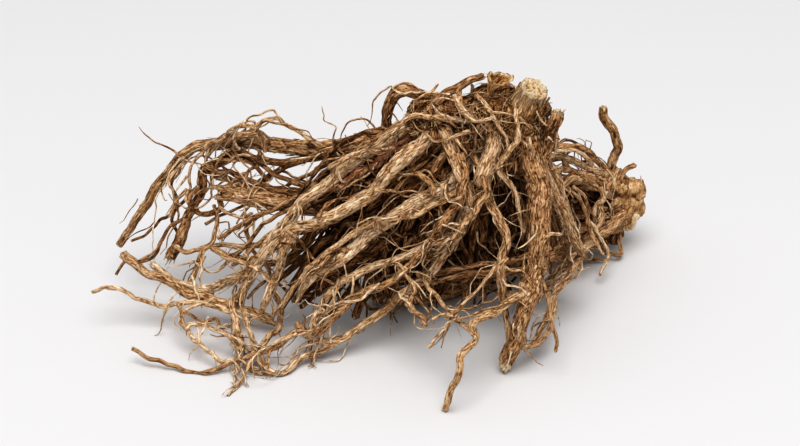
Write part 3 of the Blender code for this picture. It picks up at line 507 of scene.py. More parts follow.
def coarseRootlet(index, parents, crown):
    draw = random.Random(rootletRule[crown + "Seed"] + index)
    start, end, places = draw.choice(parents)
    curve = smoothRoute(places, 6)
    at = draw.randint(len(curve) // 4, len(curve) - 2)
    way = (curve[at + 1] - curve[at]).normalized()
    side = drawnShift(draw, (-1, 1), (-1, 1), (-1, 0.6)).normalized()
    heading = (way * 0.9 + side).normalized()
    here = curve[at].copy()
    path = [tuple(here)]
    length = draw.uniform(5, 9)
    for _ in range(draw.randint(3, 5)):
        heading = (heading + drawnShift(draw, (-0.7, 0.7), (-0.7, 0.7), (-0.8, 0.5))).normalized()
        here = here + heading * length
        here.z = max(here.z, 2.0)
        here.x = max(-88.0, min(92.0, here.x))
        if crown == "main" and here.x > 0 and here.z < 56:
            here.y = min(here.y, behindLine(here.x) - 1)
        if crown == "side":
            here.y = min(max(here.y, behindLine(here.x) + 7), 52)
            here.z = min(here.z, 50)
        path.append(tuple(here))
    return f"{crown}_rootlet_{index:02d}", (draw.uniform(1.5, 2.0), 1.2, path)


crookRule = {"slowEvery": 11.0, "kinkEvery": 4.2, "straightStart": 12, "stiffFrom": 2.0}  # in mm


def crookedRoute(curve, seed, radius):  # the slow crooks and short kinks of a dried root
    stiff = radius > crookRule["stiffFrom"]
    slow = (0.8 + 0.3 * radius) * (0.55 if stiff else 1.0)
    kink = 0.5 if stiff else 0.75
    run = 0.0
    bent = [curve[0].copy()]
    for before, here in zip(curve, curve[1:]):
        run += (here - before).length
        grow = min(1.0, run / crookRule["straightStart"])
        bend = noise.noise_vector(Vector((run / crookRule["slowEvery"], seed * 1.37, 0.5))) * slow
        bend += noise.noise_vector(Vector((run / crookRule["kinkEvery"], seed * 2.71, 7.5))) * kink
        bent.append(here + bend * grow)
    return bent


# a piece is made of sweeps: rings of points along a route, all in millimetres

def evenRoute(curve, radii, step):  # rings at an even distance
    points = np.array([tuple(p) for p in curve])
    run = np.concatenate([[0], np.cumsum(np.linalg.norm(np.diff(points, axis=0), axis=1))])
    count = max(4, int(run[-1] / step))
    at = np.linspace(0, run[-1], count)
    route = np.stack([np.interp(at, run, points[:, axis]) for axis in range(3)], axis=1)
    return route, np.interp(at, run, radii), at


def ringFrames(route, facing=upward):
    along = np.gradient(route, axis=0)
    along /= np.linalg.norm(along, axis=1)[:, None] + 1e-12
    side = np.zeros_like(route)
    start = np.cross(along[0], facing)
    if np.linalg.norm(start) < 0.2:
        start = np.cross(along[0], [0.0, 1.0, 0.0])
    side[0] = unitWay(start)
    for i in range(1, len(route)):
        side[i] = unitWay(side[i - 1] - along[i] * np.dot(side[i - 1], along[i]))
    return along, side, np.cross(along, side)


def lowLeftPaling(route):  # paler by place alone: towards the low left end of the fan
    return np.clip(-route[:, 0] / 45, 0, 1) * np.clip((34 - route[:, 2]) / 16, 0, 1)


def sweepRoot(route, radii, look, seed, tone=0.0, flat=1.0, paleTip=0.0, paleAll=0.0, facing=upward):
    thick = float(radii.max())
    along, side, cross = ringFrames(route, facing)
    tip = float(radii[-1])
    ends = ((0.5, 0.75, 0.9), (0.62, 0.35, 0.04)) if tip > 0.5 else ((0.4,), (0.05,))
    # rings that close the two ends
    route = np.concatenate([[route[0] - along[0] * radii[0] * 0.2], route,
                            [route[-1] + along[-1] * tip * reach * 0.35 for reach in ends[0]]])
    along, side, cross = [np.concatenate([ways[:1], ways, np.repeat(ways[-1:], len(ends[0]), axis=0)])
                          for ways in (along, side, cross)]
    radii = np.concatenate([[radii[0] * 0.05], radii, [tip * share for share in ends[1]]])
    rows = len(route)
    sides = int(min(max(2 * math.pi * thick / look["sideLength"], look["fewestSides"]), 60))
    turn = np.linspace(0, 2 * math.pi, sides, endpoint=False)
    run = np.concatenate([[0], np.cumsum(np.linalg.norm(np.diff(route, axis=0), axis=1))])
    middle = max(float(np.median(radii)), 0.25)
    wrap = np.stack([np.tile(np.cos(turn), rows) * middle, np.tile(np.sin(turn), rows) * middle,
                     np.repeat(run, sides)], axis=1)
    shift = np.array([seed * 3.7 % 97, seed * 5.3 % 89, seed * 11.9 % 101])  # its place in the pattern
    wrap = wrap + shift
    twist = wrap.copy()  # wrinkles run a little round the root
    lean = (seed % 7 - 3) * 0.03
    spin = wrap[:, 2] * lean / middle
    centre = shift[:2]
    local = wrap[:, :2] - centre
    twist[:, 0] = centre[0] + local[:, 0] * np.cos(spin) - local[:, 1] * np.sin(spin)
    twist[:, 1] = centre[1] + local[:, 0] * np.sin(spin) + local[:, 1] * np.cos(spin)
    width = min(look["ridgeWidth"], 0.8 * middle + 0.15)
    strands = fieldNoise(twist / [width, width, look["ridgeLength"]], seed)
    strands = np.minimum(1, np.abs(strands) * 3.8) ** 0.7  # broad ridges with narrow furrows
    fineWidth = width * 0.45
    wrinkles = fieldNoise(twist / [fineWidth, fineWidth, look["ridgeLength"] * 0.4], seed + 7)
    wrinkles = 1 - 2.4 * np.abs(wrinkles)  # finer sharp ones
    flecks = fieldNoise(wrap / look["fleckSize"], seed + 3)
    cracks = np.clip(fieldNoise(wrap / [2.6, 2.6, 0.8], seed + 5) - 0.3, 0, 1) * look["cracks"]
    lumps = fieldNoise(wrap / [middle * 1.6, middle * 1.6, middle * 2.0 + 1.4], seed + 9)
    rings = 1 - 2.6 * np.abs(fieldNoise(wrap / [middle * 2.5, middle * 2.5, 1.5], seed + 11))  # shrinkage
    # the relief also sets the colour in the finishes: painted shade in low places and cracks, painted
    # highlight on high ones
    relief = (look["strands"] * (2 * strands - 1.1) + look["wrinkles"] * wrinkles
              + look["flecks"] * flecks + look["rings"] * rings - 1.6 * cracks)
    relief = relief - relief.mean()
    size = np.repeat(radii, sides)
    depth = look["ridgeDepth"] * size + look["ridgeBase"]
    depth = np.minimum(depth, 0.45 * size) * np.minimum(1, size / (0.6 * thick + 0.01))
    out = size * (1 + look["lumpDepth"] * lumps) + relief * depth
    angle = np.tile(turn, rows)
    verts = (np.repeat(route, sides, axis=0)
             + np.repeat(side, sides, axis=0) * (out * np.cos(angle))[:, None]
             + np.repeat(cross, sides, axis=0) * (out * flat * np.sin(angle))[:, None])
    pale = np.full(rows * sides, paleAll)
    if tip > 0.5:  # torn end: jagged, with pale wood inside
        edge = np.stack([np.cos(turn) * tip * 1.3, np.sin(turn) * tip * 1.3, turn * 0 + seed], axis=1)
        jag = fieldNoise(edge, seed + 2)
        last = slice((rows - len(ends[0]) - 1) * sides, None)
        reach = np.tile(jag, len(ends[0]) + 1) * tip * look["jag"]
        verts[last] += np.repeat(along[-len(ends[0]) - 1:], sides, axis=0) * reach[:, None]
        pale[(rows - len(ends[0])) * sides:] = paleTip
    verts[:, 2] = np.maximum(verts[:, 2], tableGap)
    return {"verts": verts, "rows": rows, "sides": sides, "space": wrap, "relief": relief,
            "tone": np.repeat(tone + 0.5 * lowLeftPaling(route) * (tone > -1.1), sides), "pale": pale,
            "run": run, "girth": 2 * math.pi * middle}


def lumpBump(out, seed):  # how far a lump swells beyond its ellipsoid
    return 1.0 + 0.26 * noise.noise(Vector(out) * 2.2 + Vector((seed, 0, 0)))


def crownLump(centre, half, turnDegrees, look, seed, tone):
    rows, sides = look["rows"], look["rows"] * 2
    lift = np.linspace(0.02, math.pi - 0.02, rows)
    turn = np.linspace(0, 2 * math.pi, sides, endpoint=False)
    out = np.stack([np.outer(np.sin(lift), np.cos(turn)).ravel(),
                    np.outer(np.sin(lift), np.sin(turn)).ravel(), np.repeat(np.cos(lift), sides)], axis=1)
    bump = np.array([lumpBump(o, look["bumpSeed"]) for o in out])
    placed = turnLevel(out * np.array(half) * bump[:, None], turnDegrees)
    fibre = unitWay(np.array(look["fibreWay"], dtype=float))
    stretched = placed - fibre * (placed @ fibre)[:, None] * (1 - 1 / look["fibreStretch"])
    knots = fieldNoise(placed / look["knotSize"], seed)
    strands = 1 - 2.2 * np.abs(fieldNoise(stretched / look["strandSize"], seed + 1))
    fine = fieldNoise(stretched / (look["strandSize"] * 0.45), seed + 2)
    relief = 0.5 * knots + look["strandShare"] * (0.55 * strands + 0.3 * fine)
    normal = out / np.array(half)
    normal /= np.linalg.norm(normal, axis=1)[:, None]
    rise = knots * look["knotDepth"] + (strands + 0.5 * fine) * look["strandDepth"]
    placed = placed + turnLevel(normal, turnDegrees) * rise[:, None]
    verts = placed + np.array(centre)
    verts[:, 2] = np.maximum(verts[:, 2], tableGap)
    return {"verts": verts, "rows": rows, "sides": sides, "space": stretched + seed, "relief": relief,
            "tone": np.full(rows * sides, tone), "pale": np.zeros(rows * sides),
            "run": lift * sum(half) / 3, "girth": 2 * math.pi * sum(half) / 3 * 0.8}


def layStrips(parts):  # each unrolled part gets its own strip of the bake map
    gap = 0.8
    order = sorted(range(len(parts)), key=lambda i: -parts[i]["run"][-1])
    side = math.sqrt(sum((p["girth"] + gap) * (p["run"][-1] + gap) for p in parts)) * 1.03
    while True:
        spots, x, y, tall = {}, gap, gap, None
        for i in order:
            wide, high = parts[i]["girth"], parts[i]["run"][-1]
            tall = tall or high
            if x + wide + gap > side:
                x, y, tall = gap, y + tall + gap, high
            spots[i] = (x, y)
            x += wide + gap
        if y + tall + gap <= side:
            return spots, side
        side *= 1.03


crowns = {  # the node that a piece replaces, and its slot
    "main": ("main_crown_roots", "main_root_bark"),
    "side": ("side_crown_roots", "side_root_bark"),
}


def makePiece(name, parts, bark, crown):
    node, slotName = crowns[crown]
    mesh = bpy.data.meshes.new(name)
    verts = (np.concatenate([p["verts"] for p in parts]) + centreShift) * mm
    spots, mapSide = layStrips(parts)
    loops, starts, totals, uvs = [], [], [], []
    base = begun = 0
    for index, p in enumerate(parts):
        rows, sides = p["rows"], p["sides"]
        i, j = np.meshgrid(np.arange(rows - 1), np.arange(sides), indexing="ij")
        right = (j + 1) % sides
        above = (i + 1) * sides
        quads = np.stack([i * sides + j, i * sides + right, above + right, above + j], axis=-1)
        low = np.arange(sides)[::-1]
        high = (rows - 1) * sides + np.arange(sides)
        loops += [quads.reshape(-1) + base, low + base, high + base]
        count = (rows - 1) * sides
        capStart = begun + count * 4
        starts += [begun + np.arange(count) * 4, np.array([capStart, capStart + sides])]
        totals += [np.full(count, 4), np.array([sides, sides])]
        begun = capStart + 2 * sides
        base += rows * sides
        x, y = spots[index]
        u = x + p["girth"] * np.stack([j, j + 1, j + 1, j], axis=-1) / sides
        v = y + np.stack([p["run"][i], p["run"][i], p["run"][i + 1], p["run"][i + 1]], axis=-1)
        capU = x + p["girth"] * np.concatenate([low, np.arange(sides)]) / sides
        capV = np.concatenate([np.full(sides, y), np.full(sides, y + p["run"][-1])])
        uvs += [np.stack([u, v], axis=-1).reshape(-1, 2) / mapSide,
                np.stack([capU, capV], axis=1) / mapSide]
    loops, starts, totals = np.concatenate(loops), np.concatenate(starts), np.concatenate(totals)
    mesh.vertices.add(len(verts))
    mesh.vertices.foreach_set("co", verts.ravel())
    mesh.loops.add(len(loops))
    mesh.loops.foreach_set("vertex_index", loops)
    mesh.polygons.add(len(starts))
    mesh.polygons.foreach_set("loop_start", starts)
    mesh.polygons.foreach_set("loop_total", totals)
    mesh.polygons.foreach_set("use_smooth", np.ones(len(starts), dtype=bool))
    mesh.update(calc_edges=True)
    mesh.uv_layers.new(name="OFBake").uv.foreach_set("vector", np.concatenate(uvs).ravel())
    mesh.attributes.new("barkSpace", "FLOAT_VECTOR", "POINT").data.foreach_set(
        "vector", np.concatenate([p["space"] for p in parts]).ravel())
    for key in ("relief", "tone", "pale"):
        values = np.concatenate([p[key] for p in parts])
        mesh.attributes.new(key, "FLOAT", "POINT").data.foreach_set("value", values)
    piece = bpy.data.objects.new(name, mesh)
    bpy.context.scene.collection.objects.link(piece)
    mesh.materials.append(bark)
    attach(piece, "root")
    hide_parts(node)
    print(f"{name}: {len(parts)} sweeps, {int(sum(totals - 2))} triangles")


# finishes

def rootFinish(name, look):
    material = bpy.data.materials.new(name)
    material.use_nodes = True
    tree = material.node_tree
    shader = tree.nodes["Principled BSDF"]
    space = addNode(tree, "ShaderNodeAttribute", {"attribute_name": "barkSpace"}).outputs["Vector"]
    relief = addNode(tree, "ShaderNodeAttribute", {"attribute_name": "relief"}).outputs["Fac"]
    tone = addNode(tree, "ShaderNodeAttribute", {"attribute_name": "tone"}).outputs["Fac"]
    pale = addNode(tree, "ShaderNodeAttribute", {"attribute_name": "pale"}).outputs["Fac"]
    # scales below turn millimetres into pattern cells
    fibreSpace = addNode(tree, "ShaderNodeVectorMath", {"operation": "MULTIPLY"},
                         {0: space, 1: look["fibreScale"]})
    fibre = addNode(tree, "ShaderNodeTexNoise", None, {
        "Vector": fibreSpace.outputs[0], "Scale": 1.0, "Detail": 4.0, "Roughness": 0.62})
    blotch = addNode(tree, "ShaderNodeTexNoise", None, {
        "Vector": space, "Scale": 1 / look["blotchSize"], "Detail": 3.0, "Roughness": 0.55})
    grit = addNode(tree, "ShaderNodeTexNoise", None, {
        "Vector": space, "Scale": 1 / look["gritSize"], "Detail": 2.0, "Roughness": 0.6})
    furrowSpace = addNode(tree, "ShaderNodeVectorMath", {"operation": "MULTIPLY"},
                          {0: space, 1: look["furrowScale"]})
    furrowNoise = addNode(tree, "ShaderNodeTexNoise", None, {
        "Vector": furrowSpace.outputs[0], "Scale": 1.0, "Detail": 2.0, "Roughness": 0.5})
    away = addNode(tree, "ShaderNodeMath", {"operation": "SUBTRACT"},
                   {0: furrowNoise.outputs["Fac"], 1: 0.5})
    apart = addNode(tree, "ShaderNodeMath", {"operation": "ABSOLUTE"}, {0: away.outputs[0]})
    furrow = addNode(tree, "ShaderNodeMapRange", None, {
        "Value": apart.outputs[0], "From Min": 0.0, "From Max": look["furrowWidth"]})
    # colour that follows the relief: painted shade in furrows, pits and cracks, painted highlight on
    # ridges
    height = addNode(tree, "ShaderNodeMapRange", None, {
        "Value": relief, "From Min": -1.5, "From Max": 1.1,
        "To Min": 0.5 - look["reliefShadeShare"], "To Max": 0.5 + 0.8 * look["reliefShadeShare"]})
    streak = addNode(tree, "ShaderNodeMath", {"operation": "MULTIPLY_ADD"},
                     {0: fibre.outputs["Fac"], 1: look["fibreShare"], 2: height.outputs[0]})
    shaded = addNode(tree, "ShaderNodeMath", {"operation": "MULTIPLY_ADD"},
                     {0: blotch.outputs["Fac"], 1: look["blotchShare"], 2: streak.outputs[0]})
    toned = addNode(tree, "ShaderNodeMath", {"operation": "MULTIPLY_ADD"},
                    {0: tone, 1: look["toneShare"], 2: shaded.outputs[0]})
    # dark lines along the furrows: partly the bark's own colour, partly painted shade in the grooves
    lined = addNode(tree, "ShaderNodeMath", {"operation": "MULTIPLY_ADD"},
                    {0: furrow.outputs[0], 1: look["furrowShare"], 2: toned.outputs[0]})
    middle = 0.5 * (look["fibreShare"] + look["blotchShare"]) + 0.7 * look["furrowShare"]
    centred = addNode(tree, "ShaderNodeMath", {"operation": "SUBTRACT"},
                      {0: lined.outputs[0], 1: middle})
    bark = addNode(tree, "ShaderNodeValToRGB", {"stops": look["bark"]}, {"Fac": centred.outputs[0]})
    rust = addNode(tree, "ShaderNodeMapRange", None, {
        "Value": blotch.outputs["Fac"], "From Min": look["rustFrom"][0], "From Max": look["rustFrom"][1],
        "To Max": look["rustShare"]})
    warm = addNode(tree, "ShaderNodeMix", {"data_type": "RGBA", "blend_type": "MULTIPLY"}, {
        "Factor": rust.outputs[0], "A": bark.outputs["Color"], "B": linearColour(look["rust"])})
    wood = addNode(tree, "ShaderNodeValToRGB", {"stops": look["wood"]}, {"Fac": streak.outputs[0]})
    torn = addNode(tree, "ShaderNodeMix", {"data_type": "RGBA"},
                   {"Factor": pale, "A": warm.outputs["Result"], "B": wood.outputs["Color"]})
    tree.links.new(torn.outputs["Result"], shader.inputs["Base Color"])
    rough = addNode(tree, "ShaderNodeMapRange", None, {
        "Value": streak.outputs[0], "To Min": look["roughness"][0], "To Max": look["roughness"][1]})
    tree.links.new(rough.outputs[0], shader.inputs["Roughness"])
    ground = addNode(tree, "ShaderNodeMath", {"operation": "MULTIPLY_ADD"},
                     {0: grit.outputs["Fac"], 1: 0.5, 2: fibre.outputs["Fac"]})
    grooved = addNode(tree, "ShaderNodeMath", {"operation": "MULTIPLY_ADD"},
                      {0: furrow.outputs[0], 1: 0.7, 2: ground.outputs[0]})
    bump = addNode(tree, "ShaderNodeBump", None, {
        "Height": grooved.outputs[0], "Strength": look["bumpStrength"],
        "Distance": look["bumpDepth"] * mm})
    tree.links.new(bump.outputs[0], shader.inputs["Normal"])
    shader.inputs["IOR"].default_value = look["refraction"]
    shader.inputs["Specular IOR Level"].default_value = look["specular"]
    return material


# dried root bark: corky and matt, gold on its ridges, brown between them, near black in its furrows;
# partly its own colour, partly painted highlight on the ridges and painted shade in the furrows
barkLook = {
    "fibreScale": (2.8, 2.8, 0.5),  # fibres about 0.35 mm apart, drawn out to 2 mm
    "furrowScale": (1.5, 1.5, 0.28),  # furrows about 0.7 mm apart and 3.5 mm long
    "furrowWidth": 0.06,
    "furrowShare": 0.3,
    "reliefShadeShare": 0.36,
    "blotchSize": 6.5,
    "gritSize": 0.4,
    "fibreShare": 0.62,
    "blotchShare": 0.5,
    "toneShare": 0.1,
    "bark": [
        (0.08, "#1e1108"), (0.3, "#6a4629"), (0.5, "#b0865d"), (0.67, "#dbb88f"), (0.9, "#ffecd1")],
    "rust": "#cb9a74",
    "rustShare": 0.36,
    "rustFrom": (0.52, 0.72),  # only the strongest blotches are rusty
    "wood": [(0.3, "#8b663f"), (0.52, "#cfae82"), (0.8, "#f2deba")],
    "roughness": (0.92, 0.7),
    "bumpStrength": 1.0,
    "bumpDepth": 0.36,
    "refraction": 1.45,
    "specular": 0.25,
}
driedRootBark = rootFinish("driedRootBark", barkLook)

# one root under the crown is stained reddish brown
rustyLook = dict(barkLook, bark=[
    (0.08, "#26140c"), (0.3, "#75462f"), (0.5, "#a96f50"), (0.67, "#cf9873"), (0.9, "#efcba9")])
rustyBark = rootFinish("rustyBark", rustyLook)

# shaggy crown: old leaf fibres, darker and greyer than bark, with pale broken edges
crownLook = dict(barkLook, bark=[
    (0.12, "#1f1107"), (0.32, "#684326"), (0.5, "#ad8055"), (0.67, "#dcb384"), (0.9, "#fbe4bf")],
    fibreScale=(2.4, 2.4, 0.3), furrowScale=(1.4, 1.4, 0.3), blotchSize=4.0, rustShare=0.35)
crownFibre = rootFinish("crownFibre", crownLook)

# cut stem: weathered grey-brown ribs and a pale, pithy, pitted cut
stemLook = dict(barkLook, bark=[
    (0.1, "#1f160e"), (0.32, "#634d37"), (0.5, "#99795a"), (0.68, "#bf9f7b"), (0.9, "#e6cba6")],
    wood=[(0.42, "#74502f"), (0.56, "#cda373"), (0.7, "#f2d8b0"), (1.0, "#fff3dc")],
    rustShare=0.2, fibreScale=(3.0, 3.0, 0.2), furrowScale=(1.6, 1.6, 0.16))
cutStemWood = rootFinish("cutStemWood", stemLook)

# dry leaf base: thin, tan and papery, streaked along its veins
huskLook = dict(barkLook, bark=[
    (0.08, "#42280f"), (0.28, "#8b6036"), (0.46, "#c1915c"), (0.66, "#e6bb86"), (0.88, "#fadfb4")],
    rustShare=0.25)
dryLeafBase = rootFinish("dryLeafBase", huskLook)

# side crown: smoother knobs of rhizome, tan, with brown hollows that are painted shade set by the relief
knobLook = dict(barkLook, bark=[
    (0.1, "#28180d"), (0.3, "#725130"), (0.48, "#b38c60"), (0.66, "#dcb98d"), (0.88, "#f9e6c8")],
    reliefShadeShare=0.46, fibreScale=(1.3, 1.3, 0.7), furrowScale=(0.6, 0.6, 0.3), furrowShare=0.16,
    rustShare=0.35)
knobbyRhizome = rootFinish("knobbyRhizome", knobLook)
print("finishes made")


# routes turned into sweeps

sweepLooks = {
    "ribbed": {"sideLength": 0.6, "step": 0.78, "fewestSides": 8, "ridgeWidth": 1.2,
        "ridgeLength": 8.0, "ridgeDepth": 0.07, "ridgeBase": 0.2, "fleckSize": 1.0, "strands": 0.5,
        "wrinkles": 0.34, "flecks": 0.3, "rings": 0.08, "cracks": 0.5, "lumpDepth": 0.09, "jag": 0.9},
    "scaly": {"sideLength": 0.48, "step": 0.55, "fewestSides": 8, "ridgeWidth": 1.2,
        "ridgeLength": 6.0, "ridgeDepth": 0.05, "ridgeBase": 0.2, "fleckSize": 0.9, "strands": 0.3,
        "wrinkles": 0.35, "flecks": 0.55, "rings": 0.12, "cracks": 0.6, "lumpDepth": 0.06,
        "jag": 0.8},
    "smooth": {"sideLength": 0.5, "step": 0.55, "fewestSides": 8, "ridgeWidth": 1.0,
        "ridgeLength": 4.5, "ridgeDepth": 0.015, "ridgeBase": 0.08, "fleckSize": 0.9, "strands": 0.25,
        "wrinkles": 0.3, "flecks": 0.5, "rings": 0.1, "cracks": 0.3, "lumpDepth": 0.06, "jag": 0.5},
    "thin": {"sideLength": 0.55, "step": 0.8, "fewestSides": 6, "ridgeWidth": 0.9, "ridgeLength": 9.0,
        "ridgeDepth": 0.08, "ridgeBase": 0.09, "fleckSize": 1.0, "strands": 0.3, "wrinkles": 0.15,
        "flecks": 0.2, "rings": 0.1, "cracks": 0.3, "lumpDepth": 0.14, "jag": 0.9},
    "hidden": {"sideLength": 1.1, "step": 1.7, "fewestSides": 5, "ridgeWidth": 1.6,
        "ridgeLength": 12.0, "ridgeDepth": 0.07, "ridgeBase": 0.16, "fleckSize": 1.6, "strands": 0.55,
        "wrinkles": 0.1, "flecks": 0.35, "rings": 0.1, "cracks": 0.3, "lumpDepth": 0.18, "jag": 0.9},
    "flake": {"sideLength": 0.7, "step": 0.8, "fewestSides": 4, "ridgeWidth": 0.8, "ridgeLength": 3.0,
        "ridgeDepth": 0.06, "ridgeBase": 0.04, "fleckSize": 0.8, "strands": 0.4, "wrinkles": 0.3,
        "flecks": 0.6, "rings": 0.1, "cracks": 0.2, "lumpDepth": 0.2, "jag": 0.6},
    "tangle": {"sideLength": 0.95, "step": 1.3, "fewestSides": 5, "ridgeWidth": 1.2,
        "ridgeLength": 8.0, "ridgeDepth": 0.07, "ridgeBase": 0.1, "fleckSize": 1.4, "strands": 0.5,
        "wrinkles": 0.1, "flecks": 0.35, "rings": 0.1, "cracks": 0.2, "lumpDepth": 0.2, "jag": 0.8},
    "hair": {"sideLength": 0.6, "step": 1.1, "fewestSides": 3, "ridgeWidth": 0.6, "ridgeLength": 4.0,
        "ridgeDepth": 0.05, "ridgeBase": 0.02, "fleckSize": 1.2, "strands": 0.3, "wrinkles": 0.0,
        "flecks": 0.8, "rings": 0.0, "cracks": 0.0, "lumpDepth": 0.25, "jag": 0.5},
}


def rootRoute(name, spec, step):
    start, end, places = spec
    seed = nameSeed(name)
    curve = crookedRoute(smoothRoute(places), seed, start / 2)
    run = [0.0]
    for before, here in zip(curve, curve[1:]):
        run.append(run[-1] + (here - before).length)
    shares, factors = widthShapes.get(name, ([0, 1], [1, 1]))
    uneven = 0.11 if start > 3.3 else 0.2
    radii = []
    for at in run:
        even = 0.5 * (start + (end - start) * at / run[-1]) * np.interp(at / run[-1], shares, factors)
        swell = 1.0 + uneven * noise.noise(Vector((at / 9.0, seed * 7.31, 0.5)))
        radii.append(max(0.35, even * swell))
    route, radii, at = evenRoute(curve, radii, step)
    if end < 1.0:  # a thin root runs out to a point
        radii = radii * np.interp(at / at[-1], [0, 0.7, 1], [1, 0.85, 0.3])
    return route, radii


rootTones = {"crown_loop": -1.2, "top_stub": -0.8, "surface_root": 0.9, "side_stub": -0.3}


def plainRoot(name, spec, lookName=None, tone=None, paleTip=0.8, torn=True):
    lookName = lookName or ("ribbed" if spec[0] > 3.3 else "thin")
    look = sweepLooks[lookName]
    seed = nameSeed(name)
    route, radii = rootRoute(name, spec, look["step"])
    if tone is None:
        tone = rootTones.get(name, random.Random(seed * 3).uniform(-0.8, 1.6))
    parts = [sweepRoot(route, radii, look, seed, tone, paleTip=paleTip)]
    if spec[1] > 2.3 and lookName != "hidden" and torn:
        parts += slivers(route, radii[-1], seed)
    return parts


def slivers(route, radius, seed):  # splinters that stand out of a torn end
    draw = random.Random(seed * 7)
    way = unitWay(route[-1] - route[-4])
    parts = []
    for _ in range(int(3 + radius * 3)):
        aside = drawnWay(draw)
        aside = unitWay(aside - way * np.dot(aside, way)) * radius * draw.uniform(0.3, 0.85)
        length = draw.uniform(1.2, 2.2 + radius)
        lean = drawnWay(draw, 0.25)
        path = [route[-1] - way * 1.6 + aside + (way + lean * step / 4) * length * step / 4
                for step in range(5)]
        radii = draw.uniform(0.22, 0.5) * np.array([1, 0.95, 0.8, 0.55, 0.25])
        parts.append(sweepRoot(np.array(path), radii, sweepLooks["hair"], draw.randint(1, 9999),
                               draw.uniform(-1, 1.5), paleAll=draw.uniform(0.1, 0.9)))
    return parts


def strandedRoot(name, spec, strands, tone=0.0, spread=1.3):  # a root that has split along its grain
    look = sweepLooks["ribbed"]
    seed = nameSeed(name)
    draw = random.Random(seed * 5)
    route, radii = rootRoute(name, spec, look["step"])
    along, side, cross = ringFrames(route)
    share = np.linspace(0, 1, len(route))
    core = int(len(route) * 0.93)
    parts = [sweepRoot(route[:core], radii[:core] * 0.72, look, seed, tone - 0.5)]
    for strand in range(strands):
        turn = 2 * math.pi * (strand + draw.uniform(-0.25, 0.25)) / strands
        turn = turn + share * draw.uniform(0.6, 1.6)
        away = radii * draw.uniform(0.42, 0.6) * (1 + (spread - 1) * np.clip((share - 0.7) / 0.3, 0, 1))
        path = route + side * (away * np.cos(turn))[:, None] + cross * (away * np.sin(turn))[:, None]
        last = int(len(path) * draw.uniform(0.86, 1.0))
        thick = radii * draw.uniform(0.46, 0.6) * np.interp(share, [0, 0.8, 1], [1, 0.9, 0.5])
        parts.append(sweepRoot(path[:last], thick[:last], look, seed + 13 * strand,
                               tone + draw.uniform(-0.6, 0.9), flat=draw.uniform(0.75, 1.1),
                               paleTip=0.9))
    return parts


def sleeve(name, spec, first, last, grow, lookName, tone, paleTip=0.5):  # bark round a thinner root
    look = sweepLooks[lookName]
    route, radii = rootRoute(name, spec, look["step"])
    low, high = int(len(route) * first), int(len(route) * last)
    return [sweepRoot(route[low:high], radii[low:high] * grow, look, nameSeed(name) + 31, tone,
                      paleTip=paleTip)]


def brokenCore(name, spec, first, beyond, grow):  # pale wood that the bark has broken away from
    route, radii = rootRoute(name, spec, sweepLooks["ribbed"]["step"])
    low = int(len(route) * first)
    way = unitWay(route[-1] - route[-3])
    more = route[-1] + way * np.linspace(0.4, beyond, 7)[:, None]
    more[:, 2] = np.maximum(more[:, 2], radii[-1] * grow * 0.9)
    path = np.concatenate([route[low:], more])
    thick = np.concatenate([radii[low:], np.full(7, radii[-1])]) * grow
    core = sweepRoot(path, thick, sweepLooks["ribbed"], nameSeed(name) + 5, paleTip=1.0, paleAll=1.0)
    return [core] + slivers(path, thick[-1], nameSeed(name) + 6)


def barkFlakes(name, spec, count, first=0.03, last=0.9):  # slips of bark, loose at one end
    draw = random.Random(nameSeed(name) + 77)
    route, radii = rootRoute(name, spec, 0.8)
    along, side, cross = ringFrames(route)
    parts = []
    for _ in range(count):
        at = int(len(route) * draw.uniform(first, last))
        turn = draw.uniform(0, 2 * math.pi)
        rings = draw.randint(4, 6)
        lift = draw.uniform(0.1, 0.75)
        drift = draw.uniform(-0.09, 0.09)
        path = []
        for ring in range(rings):
            row = min(at + ring, len(route) - 1)
            angle = turn + drift * ring
            out = side[row] * math.cos(angle) + cross[row] * math.sin(angle)
            path.append(route[row] + out * (radii[row] * 1.03 + lift * (ring / (rings - 1)) ** 2))
        wide = draw.uniform(0.35, 0.85)
        outline = wide * np.interp(np.linspace(0, 1, rings), [0, 0.3, 0.7, 1], [0.6, 1, 0.9, 0.35])
        parts.append(sweepRoot(np.array(path), outline, sweepLooks["flake"], draw.randint(1, 9999),
                               draw.uniform(-1.6, 1.8), flat=0.38, paleAll=draw.uniform(0, 0.3),
                               facing=tuple(out)))
    return parts


# the swelling where the stray root leaves the leg
jointLook = {"rows": 22, "fibreWay": (0.2, -0.4, -1), "fibreStretch": 3.0, "knotSize": 1.8,
             "strandSize": 0.7, "knotDepth": 1.0, "strandDepth": 0.25, "strandShare": 0.9, "bumpSeed": 5}
legParts = []
for name, spec in legRoots.items():
    if name == "leg":
        start, end, places = spec
        legParts += sleeve(name, spec, 0.0, 0.93, 1.0, "scaly", -0.7, paleTip=0.3)
        legParts += brokenCore(name, (start, end, places[:-1]), 0.88, 1.2, 0.8)
        legParts += barkFlakes(name, spec, 70, 0.03, 0.8)
        legParts.append(crownLump((55.5, -35, 29.5), (3.0, 3.0, 4.4), 10, jointLook, 5, -0.6))
    elif name == "shin":
        legParts += strandedRoot(name, spec, 5, 0.4, spread=1.6)
    elif name == "middle":
        start, end, places = spec
        legParts += plainRoot(name, (4.4, end, places), "ribbed", -1.2)
        legParts += sleeve(name, (6.2, 5.8, places), 0.0, 0.5, 1.0, "smooth", 1.1)
        legParts += barkFlakes(name, (6.2, 5.8, places), 7, 0.0, 0.44)
    elif name == "right_stub":
        legParts += plainRoot(name, spec, "ribbed", -1.0, paleTip=0.6)
    else:
        legParts += plainRoot(name, spec)
makePiece("legRoots", legParts, driedRootBark, "main")

